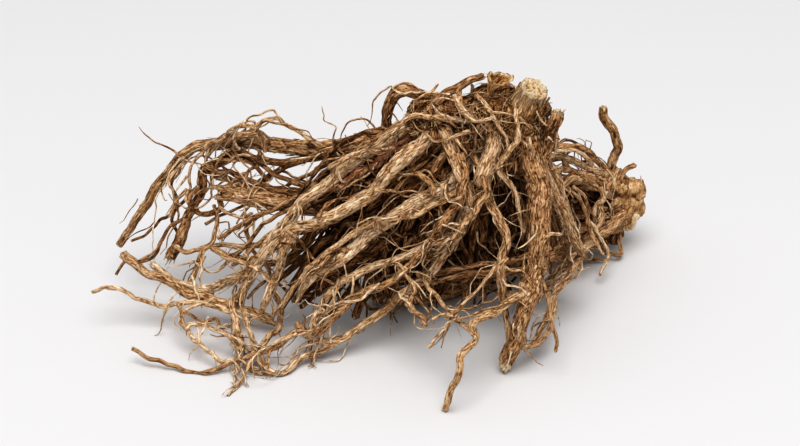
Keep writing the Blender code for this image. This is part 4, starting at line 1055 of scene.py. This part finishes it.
frontParts = []
for name, spec in frontRoots.items():
    if name == "long_loop":
        frontParts += plainRoot(name, spec, "ribbed", 0.8)
        frontParts += barkFlakes(name, spec, 34, 0.0, 0.6)
    elif name == "rusty":
        rustyParts = plainRoot(name, spec, "scaly", 0.0) + barkFlakes(name, spec, 40)
        makePiece("rustyRoot", rustyParts, rustyBark, "main")
    elif name == "flat_tip":
        frontParts += plainRoot(name, spec, "smooth", 0.0, paleTip=0.3, torn=False)
    elif name in ("splinter", "bark_strip"):
        frontParts += strandedRoot(name, spec, 4 if name == "bark_strip" else 6, 1.0)
        frontParts += barkFlakes(name, spec, 34, 0.0, 0.6)
    elif name in ("diagonal", "upper_diagonal"):
        frontParts += plainRoot(name, spec, "ribbed", 1.2)
        frontParts += barkFlakes(name, spec, 55, 0.0, 0.8)
    else:
        frontParts += plainRoot(name, spec)
makePiece("frontRoots", frontParts, driedRootBark, "main")

upperParts = []
for name, spec in upperRoots.items():
    if name == "split_end":
        upperParts += strandedRoot(name, spec, 4, 0.0, spread=1.1)
    elif name == "brush_end":
        upperParts += plainRoot(name, spec, "ribbed", -1.2, paleTip=0.3)
        brushRoute = rootRoute(name, spec, 0.8)[0]
        upperParts += slivers(brushRoute, 2.6, 5) + slivers(brushRoute, 2.0, 11)
    elif name == "arch":
        upperParts += plainRoot(name, spec, "ribbed", -0.3, paleTip=0.0, torn=False)
        upperParts += barkFlakes(name, spec, 60)
    elif name.startswith("rear"):
        upperParts += plainRoot(name, spec, None, -1.4)
    else:
        upperParts += plainRoot(name, spec)
makePiece("upperRoots", upperParts, driedRootBark, "main")

mainHidden = dict(hiddenMainRoot(index) for index in range(hiddenRule["mainCount"]))
hiddenParts = []
for index, (name, (start, end, places)) in enumerate(mainHidden.items()):
    if index < hiddenRule["thinFirst"]:
        thinner = (start * hiddenRule["thinShare"], end * hiddenRule["thinShare"], places)
        hiddenParts += plainRoot(name, thinner, "thin", -0.6)
    else:
        # painted shade: roots deep inside the clump are darkened as if in its shadow
        hiddenParts += plainRoot(name, (start, end, places), "hidden", -2.2)
makePiece("hiddenRoots", hiddenParts, driedRootBark, "main")

fillParts = []
mainFill = []
for index in range(fillRule["mainCount"]):
    # painted shade: two in three fill roots are darkened as if in the clump's shadow
    shadeTone = -2.4 if index % 3 else -0.8
    name, spec = fillRoot(index, "main")
    mainFill.append(spec)
    fillParts += plainRoot(name, spec, "hidden", shadeTone)
# painted shade on the bundles behind, lighter on the one under the leg
for bundle in ("upperGap", "middleGap", "lowGap", "edgeGap", "lowestGap", "footGap", "underLeg"):
    for name, spec in bundleRoots(bundle):
        fillParts += plainRoot(name, spec, "hidden", -0.6 if bundle == "underLeg" else -2.2)
makePiece("fillRoots", fillParts, driedRootBark, "main")

sideParts = [part for name, spec in sideRoots.items() for part in plainRoot(name, spec, torn=False)]
makePiece("sideRoots", sideParts, driedRootBark, "side")

sideHidden = dict(hiddenSideRoot(index) for index in range(hiddenRule["sideCount"]))
sideHiddenParts = []
for name, spec in sideHidden.items():
    # painted shade: the side crown's hidden roots are darkened as if in its shadow
    sideHiddenParts += plainRoot(name, spec, "hidden", -1.8)
for index in range(fillRule["sideCount"]):
    # painted shade: two in three side fill roots are darkened as if in the clump's shadow
    shadeTone = -2.6 if index % 3 else -0.4
    sideHiddenParts += plainRoot(*fillRoot(index, "side"), "hidden", shadeTone)
# painted shade on the side bundles, darker on every other root
for index, (name, spec) in enumerate([*bundleRoots("side_bundle"), *bundleRoots("floor_bundle")]):
    sideHiddenParts += plainRoot(name, spec, "hidden", -1.6 if index % 2 else -0.4)
makePiece("sideHiddenRoots", sideHiddenParts, driedRootBark, "side")


# rootlets that the solids carry too, and finer hairs that only show here

heroParents = list(legRoots.values()) + list(frontRoots.values()) + list(upperRoots.values())
mainParents = heroParents[:24] + list(mainHidden.values())  # the roots that carry rootlets in the solids
sideParents = list(sideRoots.values())[:7] + list(sideHidden.values())
mainRootletParts = []
for index in range(rootletRule["mainCount"]):
    name, spec = coarseRootlet(index, mainParents, "main")
    lastPlace = spec[2][-1]
    if min(place[0] for place in spec[2]) > -82 and (lastPlace[1] > -30 or lastPlace[2] > 2.5):
        mainRootletParts += plainRoot(name, spec, "thin")
sideRootletParts = []
for index in range(rootletRule["sideCount"]):
    sideRootletParts += plainRoot(*coarseRootlet(index, sideParents, "side"), "thin")

hairLook = {
    "mainCount": 450,
    "mainSeed": 53,
    "sideCount": 110,
    "sideSeed": 54,
    "length": (7, 28),  # mm
    "radius": (0.17, 0.4),
    "tone": (-2.0, 3.0),
    "kinkEvery": 5.0,  # mm between sharp bends
    "droop": 0.04,
    "outward": 0.5,
    "outerSide": np.array([0.0, -0.5, 0.5]),  # more of them on the top and the front
    "reach": (-98, 98, -60, 62, 93),  # x, y and top that hairs stay inside
    "stray": 5.0,  # how far a hair may leave the roots
    "strayFar": 12.0,  # the few that stand well out
    "farShare": 0.1,
}
# long pale curls over the roots
curlyLook = dict(
    hairLook, mainCount=180, mainSeed=51, sideCount=34, sideSeed=52, length=(14, 44),
    radius=(0.28, 0.56), tone=(-0.4, 2.8), kinkEvery=4.6, droop=0.03, reach=(-86, 98, -60, 62, 93),
    stray=4.4, farShare=0.0,
    outerSide=np.array([0.0, -1.0, 1.0]))
# thicker ones between them, darkened with painted shade for the inside of the clump
tangleLook = dict(
    curlyLook, mainCount=190, mainSeed=57, sideCount=70, sideSeed=58, length=(22, 60),
    radius=(0.45, 1.0), tone=(-4.2, 0.2), kinkEvery=7.0, stray=6.0, outerSide=np.array([0.0, -0.4, 0.2]))
# short loops over the knobs of the side crown
knobLoopLook = dict(
    curlyLook, sideCount=40, sideSeed=59, length=(9, 26), radius=(0.5, 1.2), tone=(-2, 2.5),
    kinkEvery=3.6, stray=6.0,
    outerSide=np.array([0.2, -0.8, 0.3]))
lowestHair = 0.5  # mm above the table


def wander(start, heading, length, draw, look, step=0.9):  # a kinked hair's route
    here = np.array(start, dtype=float)
    heading = unitWay(heading)
    bend = drawnWay(draw)
    path = [here.copy()]
    sinceKink = 0.0
    kinkAt = draw.uniform(0.4, 1.6) * look["kinkEvery"]
    for _ in range(int(length / step)):
        sinceKink += step
        if sinceKink > kinkAt:
            sinceKink = 0.0
            kinkAt = draw.uniform(0.3, 1.6) * look["kinkEvery"]
            bend = drawnWay(draw)
            heading = heading + drawnWay(draw, 0.75)
        heading = unitWay(heading + bend * 0.12 + np.array([0, 0, -look["droop"]]))
        here = here + heading * step
        if here[2] < lowestHair:
            here[2] = lowestHair
            heading[2] = abs(heading[2]) * 0.2
        path.append(here.copy())
    return np.array(path)


# boxes that curls keep out of: over the middle root's bark and the gap beside it
clearPlaces = [((35, -40, 55), (49, -13, 82)), ((46, -40, 36), (57, -12, 68))]


def hairsOn(parents, crown, look, lookName):
    draw = random.Random(look[crown + "Seed"])
    routes = [np.array([tuple(p) for p in smoothRoute(spec[2], 8)]) for spec in parents]
    widths = {id(route): spec[0] * 0.7 + spec[1] * 0.3 for route, spec in zip(routes, parents)}
    weights = [len(route) for route in routes]
    near = kdtree.KDTree(sum(weights))
    for index, place in enumerate(np.concatenate(routes)):
        near.insert(place, index)
    near.balance()
    left, right, front, back, top = look["reach"]
    parts = []
    while len(parts) < look[crown + "Count"]:
        route = draw.choices(routes, weights)[0]
        at = draw.randint(len(route) // 10, len(route) - 2)
        way = unitWay(route[at + 1] - route[at])
        out = drawnWay(draw) + look["outerSide"]
        out = out - way * np.dot(out, way)
        out = out / (np.linalg.norm(out) + 1e-6)
        heading = way * draw.uniform(0.1, 1.2) + out * draw.uniform(0, 2) * look["outward"]
        heading = heading + drawnWay(draw, 0.9)
        length = draw.uniform(*look["length"])
        stray = look["strayFar"] if draw.random() < look["farShare"] else look["stray"]
        path = wander(route[at] + out * widths[id(route)] * 0.45, heading, length, draw, look)
        if path[:, 0].mean() < -22 and draw.random() < 0.72:  # fewer in the open left of the fan
            continue
        if path[:, 2].mean() > 74 and lookName == "thin" and draw.random() < 0.75:  # few over the crown
            continue
        crossing = [((path > low) & (path < high)).all(axis=1).any() for low, high in clearPlaces]
        if lookName == "thin" and any(crossing):
            continue
        if path[:, 0].mean() > 20 and path[:, 2].min() < 1.5:  # none on the table beside the leg
            continue
        if (path[:, 0].min() < left or path[:, 0].max() > right or path[:, 1].min() < front
                or path[:, 1].max() > back or path[:, 2].max() > top):
            continue
        if max(near.find(place)[2] for place in path[::3]) > stray:
            continue
        thick = draw.uniform(*look["radius"])
        radii = thick * np.interp(np.linspace(0, 1, len(path)), [0, 0.6, 1], [1, 0.8, 0.35])
        route, radii, _ = evenRoute(path, radii, sweepLooks[lookName]["step"])
        parts.append(sweepRoot(route, radii, sweepLooks[lookName], draw.randint(1, 9999),
                               draw.uniform(*look["tone"])))
    return parts


mainCurly = hairsOn(heroParents, "main", curlyLook, "thin")
threadParts = [part for name, spec in frontThreads.items() for part in plainRoot(name, spec, "thin")]
makePiece("mainRootlets", mainRootletParts + mainCurly + threadParts, driedRootBark, "main")
mainTangle = hairsOn(list(mainHidden.values()) + mainFill, "main", tangleLook, "tangle")
makePiece("mainTangle", mainTangle, driedRootBark, "main")
mainHairs = hairsOn(heroParents + list(mainHidden.values()), "main", hairLook, "hair")
makePiece("mainHairs", mainHairs, driedRootBark, "main")
sideRootletParts += hairsOn(sideParents, "side", curlyLook, "thin")
# a milder painted shade on the side crown's tangle
sideRootletParts += hairsOn(sideParents, "side", dict(tangleLook, tone=(-2, 1)), "tangle")
knobParents = [(6, 6, [(86, 40, 6), (89, 41, 14), (90, 42, 23), (91, 44, 30)]),
               (5, 5, [(82, 37, 12), (86, 39, 18), (88, 42, 27)])]
sideRootletParts += hairsOn(knobParents, "side", knobLoopLook, "thin")
sideRootletParts += hairsOn(sideParents, "side", hairLook, "hair")
makePiece("sideRootlets", sideRootletParts, driedRootBark, "side")


# crowns: lumps of rhizome under a coat of old fibres

mainLumps = {
    "rhizome": ((44, 2, 77), (17, 12, 12), 8),
    "shoulder": ((25, 2, 77), (12, 9, 8), 10),
    "neck": ((50, 0, 67), (10, 9, 9), 0),
    "stem_bed": ((54, 2, 79), (9, 9, 8), 0),
}
sideLumps = {
    "bulb": ((96.5, 46.5, 18), (6.4, 7.2, 9.6), 0),
    "bulb_top": ((93, 45, 27), (4.8, 5.4, 4.6), 20),
    "bulb_foot": ((92, 45.5, 7), (4.4, 4.6, 5.4), -15),
    "bulb_knot": ((100.5, 47.5, 23.5), (3.6, 4.4, 4), 30),
    "side_neck": ((87, 40, 16), (6, 5.2, 8.4), 20),
}
mainLumpLook = {"rows": 42, "fibreWay": (0.2, -0.3, -1), "fibreStretch": 5.0, "knotSize": 3.2,
                "strandSize": 0.9, "knotDepth": 0.9, "strandDepth": 0.3, "strandShare": 1.0}
sideLumpLook = {"rows": 32, "fibreWay": (0.6, 0.2, 0.8), "fibreStretch": 2.0, "knotSize": 3.4,
                "strandSize": 1.6, "knotDepth": 1.3, "strandDepth": 0.08, "strandShare": 0.4}
darkerBy = {"side_neck": 2.4, "bulb_foot": 1.0}  # lumps that lie in the shade of the others


def lumpParts(lumps, look, tone):
    return [crownLump(centre, half, turn, dict(look, bumpSeed=nameSeed(name)), nameSeed(name),
                      tone - darkerBy.get(name, 0)) for name, (centre, half, turn) in lumps.items()]


makePiece("mainCrown", lumpParts(mainLumps, mainLumpLook, -1.6), crownFibre, "main")


def onLump(lump, name, out, lift):  # the place at a height over a lump
    centre, half, turnDegrees = lump
    local = np.array(out) * np.array(half) * lumpBump(out, nameSeed(name))
    local = local * (1 + lift / np.linalg.norm(local))
    return turnLevel(local, turnDegrees) + np.array(centre)


noduleLook = {"rows": 18, "knotSize": 2.6, "knotDepth": 0.35, "strandSize": 1.2, "strandDepth": 0.06,
              "fibreWay": (0.3, 0.1, 1), "fibreStretch": 1.6, "strandShare": 0.3}
nodules = [  # smooth knobs of the side crown: middle, half sizes, turn
    ((98.4, 45, 26.4), (4.3, 3.6, 2.8), 20), ((101.6, 46, 22.6), (2.8, 3, 2.6), 0),
    ((101.8, 46, 16.7), (2.6, 3.2, 4.2), 0), ((98.8, 42.6, 14.6), (3.2, 2.8, 3.2), 35),
    ((98.4, 44, 10.6), (2.8, 2.6, 2.4), 10), ((95.2, 40.8, 17.4), (3, 2.4, 2.2), -20),
    ((92.8, 40.2, 22.6), (2.4, 2.2, 1.9), 0), ((93.6, 43, 9), (2.6, 2.4, 2.2), 0),
    ((95, 40.8, 12.6), (2.4, 2.2, 2.6), 15), ((97.8, 41.8, 20.6), (2.6, 2.2, 2.8), 0),
    ((102, 50.5, 20.5), (2.6, 3, 3), 0),
    ((99, 50.5, 12), (3.4, 3.2, 3.6), 0), ((97, 53, 20), (3.2, 2.8, 3.8), 0),
    ((92, 50, 26), (3, 2.8, 2.8), 0),
    ((95, 51, 7), (3.2, 3, 2.8), 0), ((94.4, 41.4, 27.4), (2.4, 2.2, 1.9), 40),
]


def noduleParts(seed):
    draw = random.Random(seed)
    return [crownLump(centre, half, turn, dict(noduleLook, bumpSeed=seed + index), seed + index,
                      draw.uniform(-0.4, 1.8)) for index, (centre, half, turn) in enumerate(nodules)]


sideCrownParts = lumpParts(sideLumps, sideLumpLook, -1.6) + noduleParts(71)
makePiece("sideCrown", sideCrownParts, knobbyRhizome, "side")


fibreTones = (-2.4, -1.0, 0.2, 1.4, 3.2)


def coatFibres(lumps, look):  # old leaf fibres that lie along a lump and lift at the end
    draw = random.Random(look["seed"])
    names = list(lumps)
    parts = []
    for _ in range(look["count"]):
        name = draw.choices(names, [sum(lumps[key][1]) ** 2 for key in names])[0]
        out = unitWay(np.array([draw.gauss(0, 1) for _ in range(3)]))
        way = np.array(look["flow"]) + np.array([draw.gauss(0, 0.42) for _ in range(3)])
        step = 0.085
        rings = draw.randint(7, 16)
        path = []
        bend = np.array([draw.gauss(0, 0.35) for _ in range(3)])
        for ring in range(rings):
            share = ring / rings
            lift = look["lift"] * (0.3 + draw.random() * 0.35)
            lift += look["flick"] * max(0.0, share - 0.7) * 3
            path.append(onLump(lumps[name], name, out, lift))
            way = way + bend * 0.25
            way = unitWay(way - out * np.dot(way, out))
            out = unitWay(out + way * step)
        thick = draw.uniform(*look["radius"])
        radii = thick * np.interp(np.linspace(0, 1, rings), [0, 0.2, 0.7, 1], [0.5, 1, 0.9, 0.35])
        parts.append(sweepRoot(np.array(path), radii, sweepLooks["hair"], draw.randint(1, 9999),
                               draw.choice(fibreTones)))
    return parts


coatLook = {"count": 1350, "seed": 61, "lift": 1.3, "flick": 1.6, "radius": (0.12, 0.3),
            "flow": (-0.5, -0.4, -0.8)}
makePiece("crownFibres", coatFibres(mainLumps, coatLook), crownFibre, "main")
sideCoatLook = dict(coatLook, count=24, seed=62, lift=0.5, flick=0.8)
makePiece("sideCrownFibres", coatFibres(sideLumps, sideCoatLook), driedRootBark, "side")


# cut stem, husk and leaf bases

def standingFrame(foot, top):
    axis = Vector(top) - Vector(foot)
    stand = np.array(axis.to_track_quat("Z", "Y").to_matrix())
    return np.array(foot, dtype=float), stand, axis.length


def stemRadius(look, share):  # it narrows fastest at its foot
    return look["footRadius"] + (look["topRadius"] - look["footRadius"]) * share ** 0.7


def cutStem(look):
    foot, stand, height = standingFrame(look["foot"], look["top"])
    sides = look["sides"]
    turn = np.linspace(0, 2 * math.pi, sides, endpoint=False)
    wallRows, faceRows = look["wallRows"], look["faceRows"]
    share = np.linspace(0, 1, wallRows)
    faceRadius = look["topRadius"] * np.linspace(0.96, 0.03, faceRows)
    rowsRadius = np.concatenate([stemRadius(look, share), faceRadius])
    rowsHeight = np.concatenate([share * height, np.full(faceRows, height)])
    onFace = np.concatenate([np.zeros(wallRows), np.ones(faceRows)])
    rows = wallRows + faceRows
    angle = np.tile(turn, rows)
    size = np.repeat(rowsRadius, sides)
    up = np.repeat(rowsHeight, sides)
    face = np.repeat(onFace, sides)
    unit = np.stack([np.cos(angle), np.sin(angle)], axis=1)
    wall = np.stack([unit[:, 0] * look["topRadius"], unit[:, 1] * look["topRadius"], up], axis=1)
    ribs = 1 - 2.4 * np.abs(fieldNoise(wall / [look["ribWidth"] * 2.2, look["ribWidth"] * 2.2, 9.0], 3))
    fineRibs = 1 - 2 * np.abs(fieldNoise(wall / [look["ribWidth"], look["ribWidth"], 5.0], 4))
    ribs = 0.5 * ribs + 0.4 * fineRibs
    ribs = ribs + 0.3 * fieldNoise(wall / 0.7, 6)
    outline = fieldNoise(np.stack([unit[:, 0] * 1.4, unit[:, 1] * 1.4, up * 0.05 + 3], axis=1), 5)
    outline = 1 + 0.1 * outline
    ribShare = np.where(face > 0, 0.5, 1.0)
    out = size * outline + ribShare * ribs * look["ribDepth"] * np.minimum(1, size / look["topRadius"])
    flatPlace = np.stack([unit[:, 0] * out, unit[:, 1] * out * look["flatten"], angle * 0], axis=1)
    pits = fieldNoise(flatPlace / 0.9, 8) + 0.6 * fieldNoise(flatPlace / 0.45, 9)
    broad = fieldNoise(flatPlace / 3.5, 10)
    lift = face * (look["pitDepth"] * pits + 0.9 * broad)
    nearRim = np.clip((size / look["topRadius"] - 0.8) / 0.2, 0, 1)
    rimJag = np.where(up > height - 1.2, 1.0, 0.0) * nearRim * fieldNoise(flatPlace / 1.1 + 20, 11)
    local = np.stack([flatPlace[:, 0], flatPlace[:, 1], up + lift + rimJag], axis=1)
    verts = local @ stand.T + foot
    run = np.concatenate([share * height, height + look["topRadius"] * np.linspace(0.04, 1, faceRows)])
    relief = np.where(face > 0, 1.2 * pits + 0.5 * broad - 0.5, ribs)
    pale = np.clip(face * 1.2 + (up > height - 0.5) * 0.4, 0, 1)
    space = np.where(face[:, None] > 0, flatPlace, wall)
    return [{"verts": verts, "rows": rows, "sides": sides, "space": space, "relief": relief,
             "tone": np.zeros(rows * sides), "pale": pale, "run": run,
             "girth": 2 * math.pi * look["footRadius"]}]


stemCut = {
    "foot": (51, 1, 76), "top": (57.3, -2, 91.4), "footRadius": 9.2, "topRadius": 5.2, "flatten": 0.9,
    "sides": 120, "wallRows": 44, "faceRows": 20, "ribWidth": 0.8, "ribDepth": 0.42, "pitDepth": 0.5,
}
makePiece("cutStem", cutStem(stemCut), cutStemWood, "main")


def curledScale(foot, top, look, seed, tone, pale=0.0):  # a thin leaf base, curled across its width
    foot, stand, height = standingFrame(foot, top)
    rows, half = look["rows"], look["sides"] // 2
    share = np.linspace(0, 1, rows)
    width = np.interp(share, look["widthAt"], look["widths"])
    arc = np.linspace(-1, 1, half)
    ring = np.concatenate([arc, arc[::-1]])
    inner = np.concatenate([np.zeros(half), np.ones(half)])
    spread = look["curl"] * ring[None, :]
    thick = inner[None, :] * look["thickness"] * (1 - 0.5 * ring[None, :] ** 2)
    radius = (width / look["curl"])[:, None] - thick
    x = radius * np.sin(spread)
    y = radius * np.cos(spread) - (width / look["curl"])[:, None]
    count = rows * 2 * half
    wave = np.stack([np.tile(ring * 2.2, rows), np.repeat(share * 2.4, 2 * half),
                     np.full(count, seed)], axis=1)
    wave = fieldNoise(wave, seed).reshape(rows, -1)
    veins = np.stack([np.tile(ring * look["veins"], rows), np.repeat(share * 1.3, 2 * half),
                      np.full(count, seed + 0.5)], axis=1)
    veins = fieldNoise(veins, seed + 1).reshape(rows, -1)
    y = y + wave * look["wave"] + veins * look["veinDepth"] * (1 - 2 * inner[None, :])
    edge = fieldNoise(np.stack([ring * look["fray"], ring * 0, ring * 0 + seed], axis=1), seed + 2)
    z = share[:, None] * height * (1 + look["edge"] * edge[None, :] * share[:, None] ** 4)
    local = np.stack([x.ravel(), y.ravel(), z.ravel()], axis=1)
    verts = local @ stand.T + foot
    space = np.stack([np.tile(ring, rows) * width.mean(), np.tile(inner, rows),
                      np.repeat(share * height, 2 * half)], axis=1)
    return {"verts": verts, "rows": rows, "sides": 2 * half, "space": space + seed,
            "relief": (veins * 0.9).ravel(), "tone": np.full(count, tone),
            "pale": np.repeat(np.clip((share - 0.9) * 8, 0, 1) * pale, 2 * half),
            "run": share * height, "girth": 4 * float(width.max())}


huskShape = {"rows": 30, "sides": 64, "widthAt": [0, 0.45, 0.8, 1], "widths": [2.0, 2.8, 7.2, 11.8],
             "curl": 2.7, "thickness": 0.7, "wave": 1.0, "veins": 14, "veinDepth": 0.3, "fray": 7.0,
             "edge": 0.18}
huskParts = [curledScale((41.2, 0, 85), (42.2, -1, 97), huskShape, 7, 0.2, pale=0.7)]
collarShape = dict(huskShape, rows=9, sides=14, widthAt=[0, 0.4, 1], widths=[1.5, 1.2, 0.3], curl=0.9,
                   thickness=0.35, wave=0.5, veins=5, edge=0.35)


def collarScales(look, count, seed):  # shaggy scales that wrap the foot of the cut stem
    draw = random.Random(seed)
    foot, stand, height = standingFrame(stemCut["foot"], stemCut["top"])
    parts = []
    for index in range(count):
        around = draw.uniform(0, 2 * math.pi)
        low = draw.uniform(0.1, 0.5) * height
        radius = stemRadius(stemCut, low / height)
        high = low + draw.uniform(3.5, 7.5)
        wide = radius + draw.uniform(-0.6, 1.4)
        local = [np.array([math.cos(around) * radius * 0.96, math.sin(around) * radius * 0.9, low]),
                 np.array([math.cos(around + draw.uniform(-0.25, 0.25)) * wide * 0.92,
                           math.sin(around + draw.uniform(-0.25, 0.25)) * wide * 0.85, high])]
        placed = [tuple(p @ stand.T + foot) for p in local]
        parts.append(curledScale(placed[0], placed[1], look, seed + index, draw.uniform(-1.6, 0.4)))
    return parts


huskParts += collarScales(collarShape, 70, 81)
leafBases = [((41, -3, 84), (38, -4, 89)), ((38, 4, 84), (36, 4, 90)), ((55, 7, 80), (60, 10, 87))]
baseShape = dict(huskShape, rows=14, sides=28, widthAt=[0, 0.5, 1], widths=[2.8, 2.4, 0.7], curl=1.3,
                 edge=0.25)
huskParts += [curledScale(foot, top, baseShape, 20 + index, -0.4)
              for index, (foot, top) in enumerate(leafBases)]
makePiece("leafBases", huskParts, dryLeafBase, "main")


# camera at the photograph's angle, pale table, soft light

viewLook = {"target": (8.4, 6.6, 36.2), "elevation": 30, "distance": 800, "lens": 100, "sensor": 36,
            "farthest": 20}
cameraData = bpy.data.cameras.new("camera")
cameraData.lens = viewLook["lens"]
cameraData.sensor_width = viewLook["sensor"]
cameraData.clip_end = viewLook["farthest"]
camera = bpy.data.objects.new("camera", cameraData)
bpy.context.scene.collection.objects.link(camera)
lift = math.radians(viewLook["elevation"])
backward = Vector((0, -math.cos(lift), math.sin(lift)))
camera.location = (Vector(viewLook["target"]) + viewLook["distance"] * backward) * mm
camera.rotation_euler = (math.pi / 2 - lift, 0, 0)
bpy.context.scene.camera = camera
bpy.context.scene.view_settings.view_transform = "Standard"
bpy.context.scene.view_settings.look = "High Contrast"

tableLook = {"size": 6, "drop": 0.0002, "colour": "#d5d5d7", "roughness": 0.9}  # pale and matt
bpy.ops.mesh.primitive_plane_add(size=tableLook["size"], location=(0, 0, -tableLook["drop"]))
table = bpy.context.object
table.name = "table"
tableFinish = bpy.data.materials.new("paleMattTable")
tableFinish.use_nodes = True
tableShader = tableFinish.node_tree.nodes["Principled BSDF"]
tableShader.inputs["Base Color"].default_value = linearColour(tableLook["colour"])
tableShader.inputs["Roughness"].default_value = tableLook["roughness"]
table.data.materials.append(tableFinish)

skyStrength = 0.45
lamps = {
    "overhead": {"place": (0.02, -0.5, 1.56), "size": 1.4, "power": 17.5, "colour": "#fffdfa"},
    "front": {"place": (0.3, -1.6, 0.9), "size": 1.6, "power": 0.6, "colour": "#f7faff"},
}
lampTarget = Vector((0, 0, 0.03))
world = bpy.data.worlds.new("studio")
world.use_nodes = True
background = world.node_tree.nodes["Background"]
background.inputs["Color"].default_value = (1, 1, 1, 1)
background.inputs["Strength"].default_value = skyStrength
bpy.context.scene.world = world
for name, lamp in lamps.items():
    lampData = bpy.data.lights.new(name, "AREA")
    lampData.shape = "DISK"
    lampData.size = lamp["size"]
    lampData.energy = lamp["power"]
    lampData.color = linearColour(lamp["colour"])[:3]
    lampObject = bpy.data.objects.new(name, lampData)
    bpy.context.scene.collection.objects.link(lampObject)
    lampObject.location = lamp["place"]
    lampObject.rotation_euler = (lampTarget - Vector(lamp["place"])).to_track_quat("-Z", "Y").to_euler()
print("camera, table and light set")
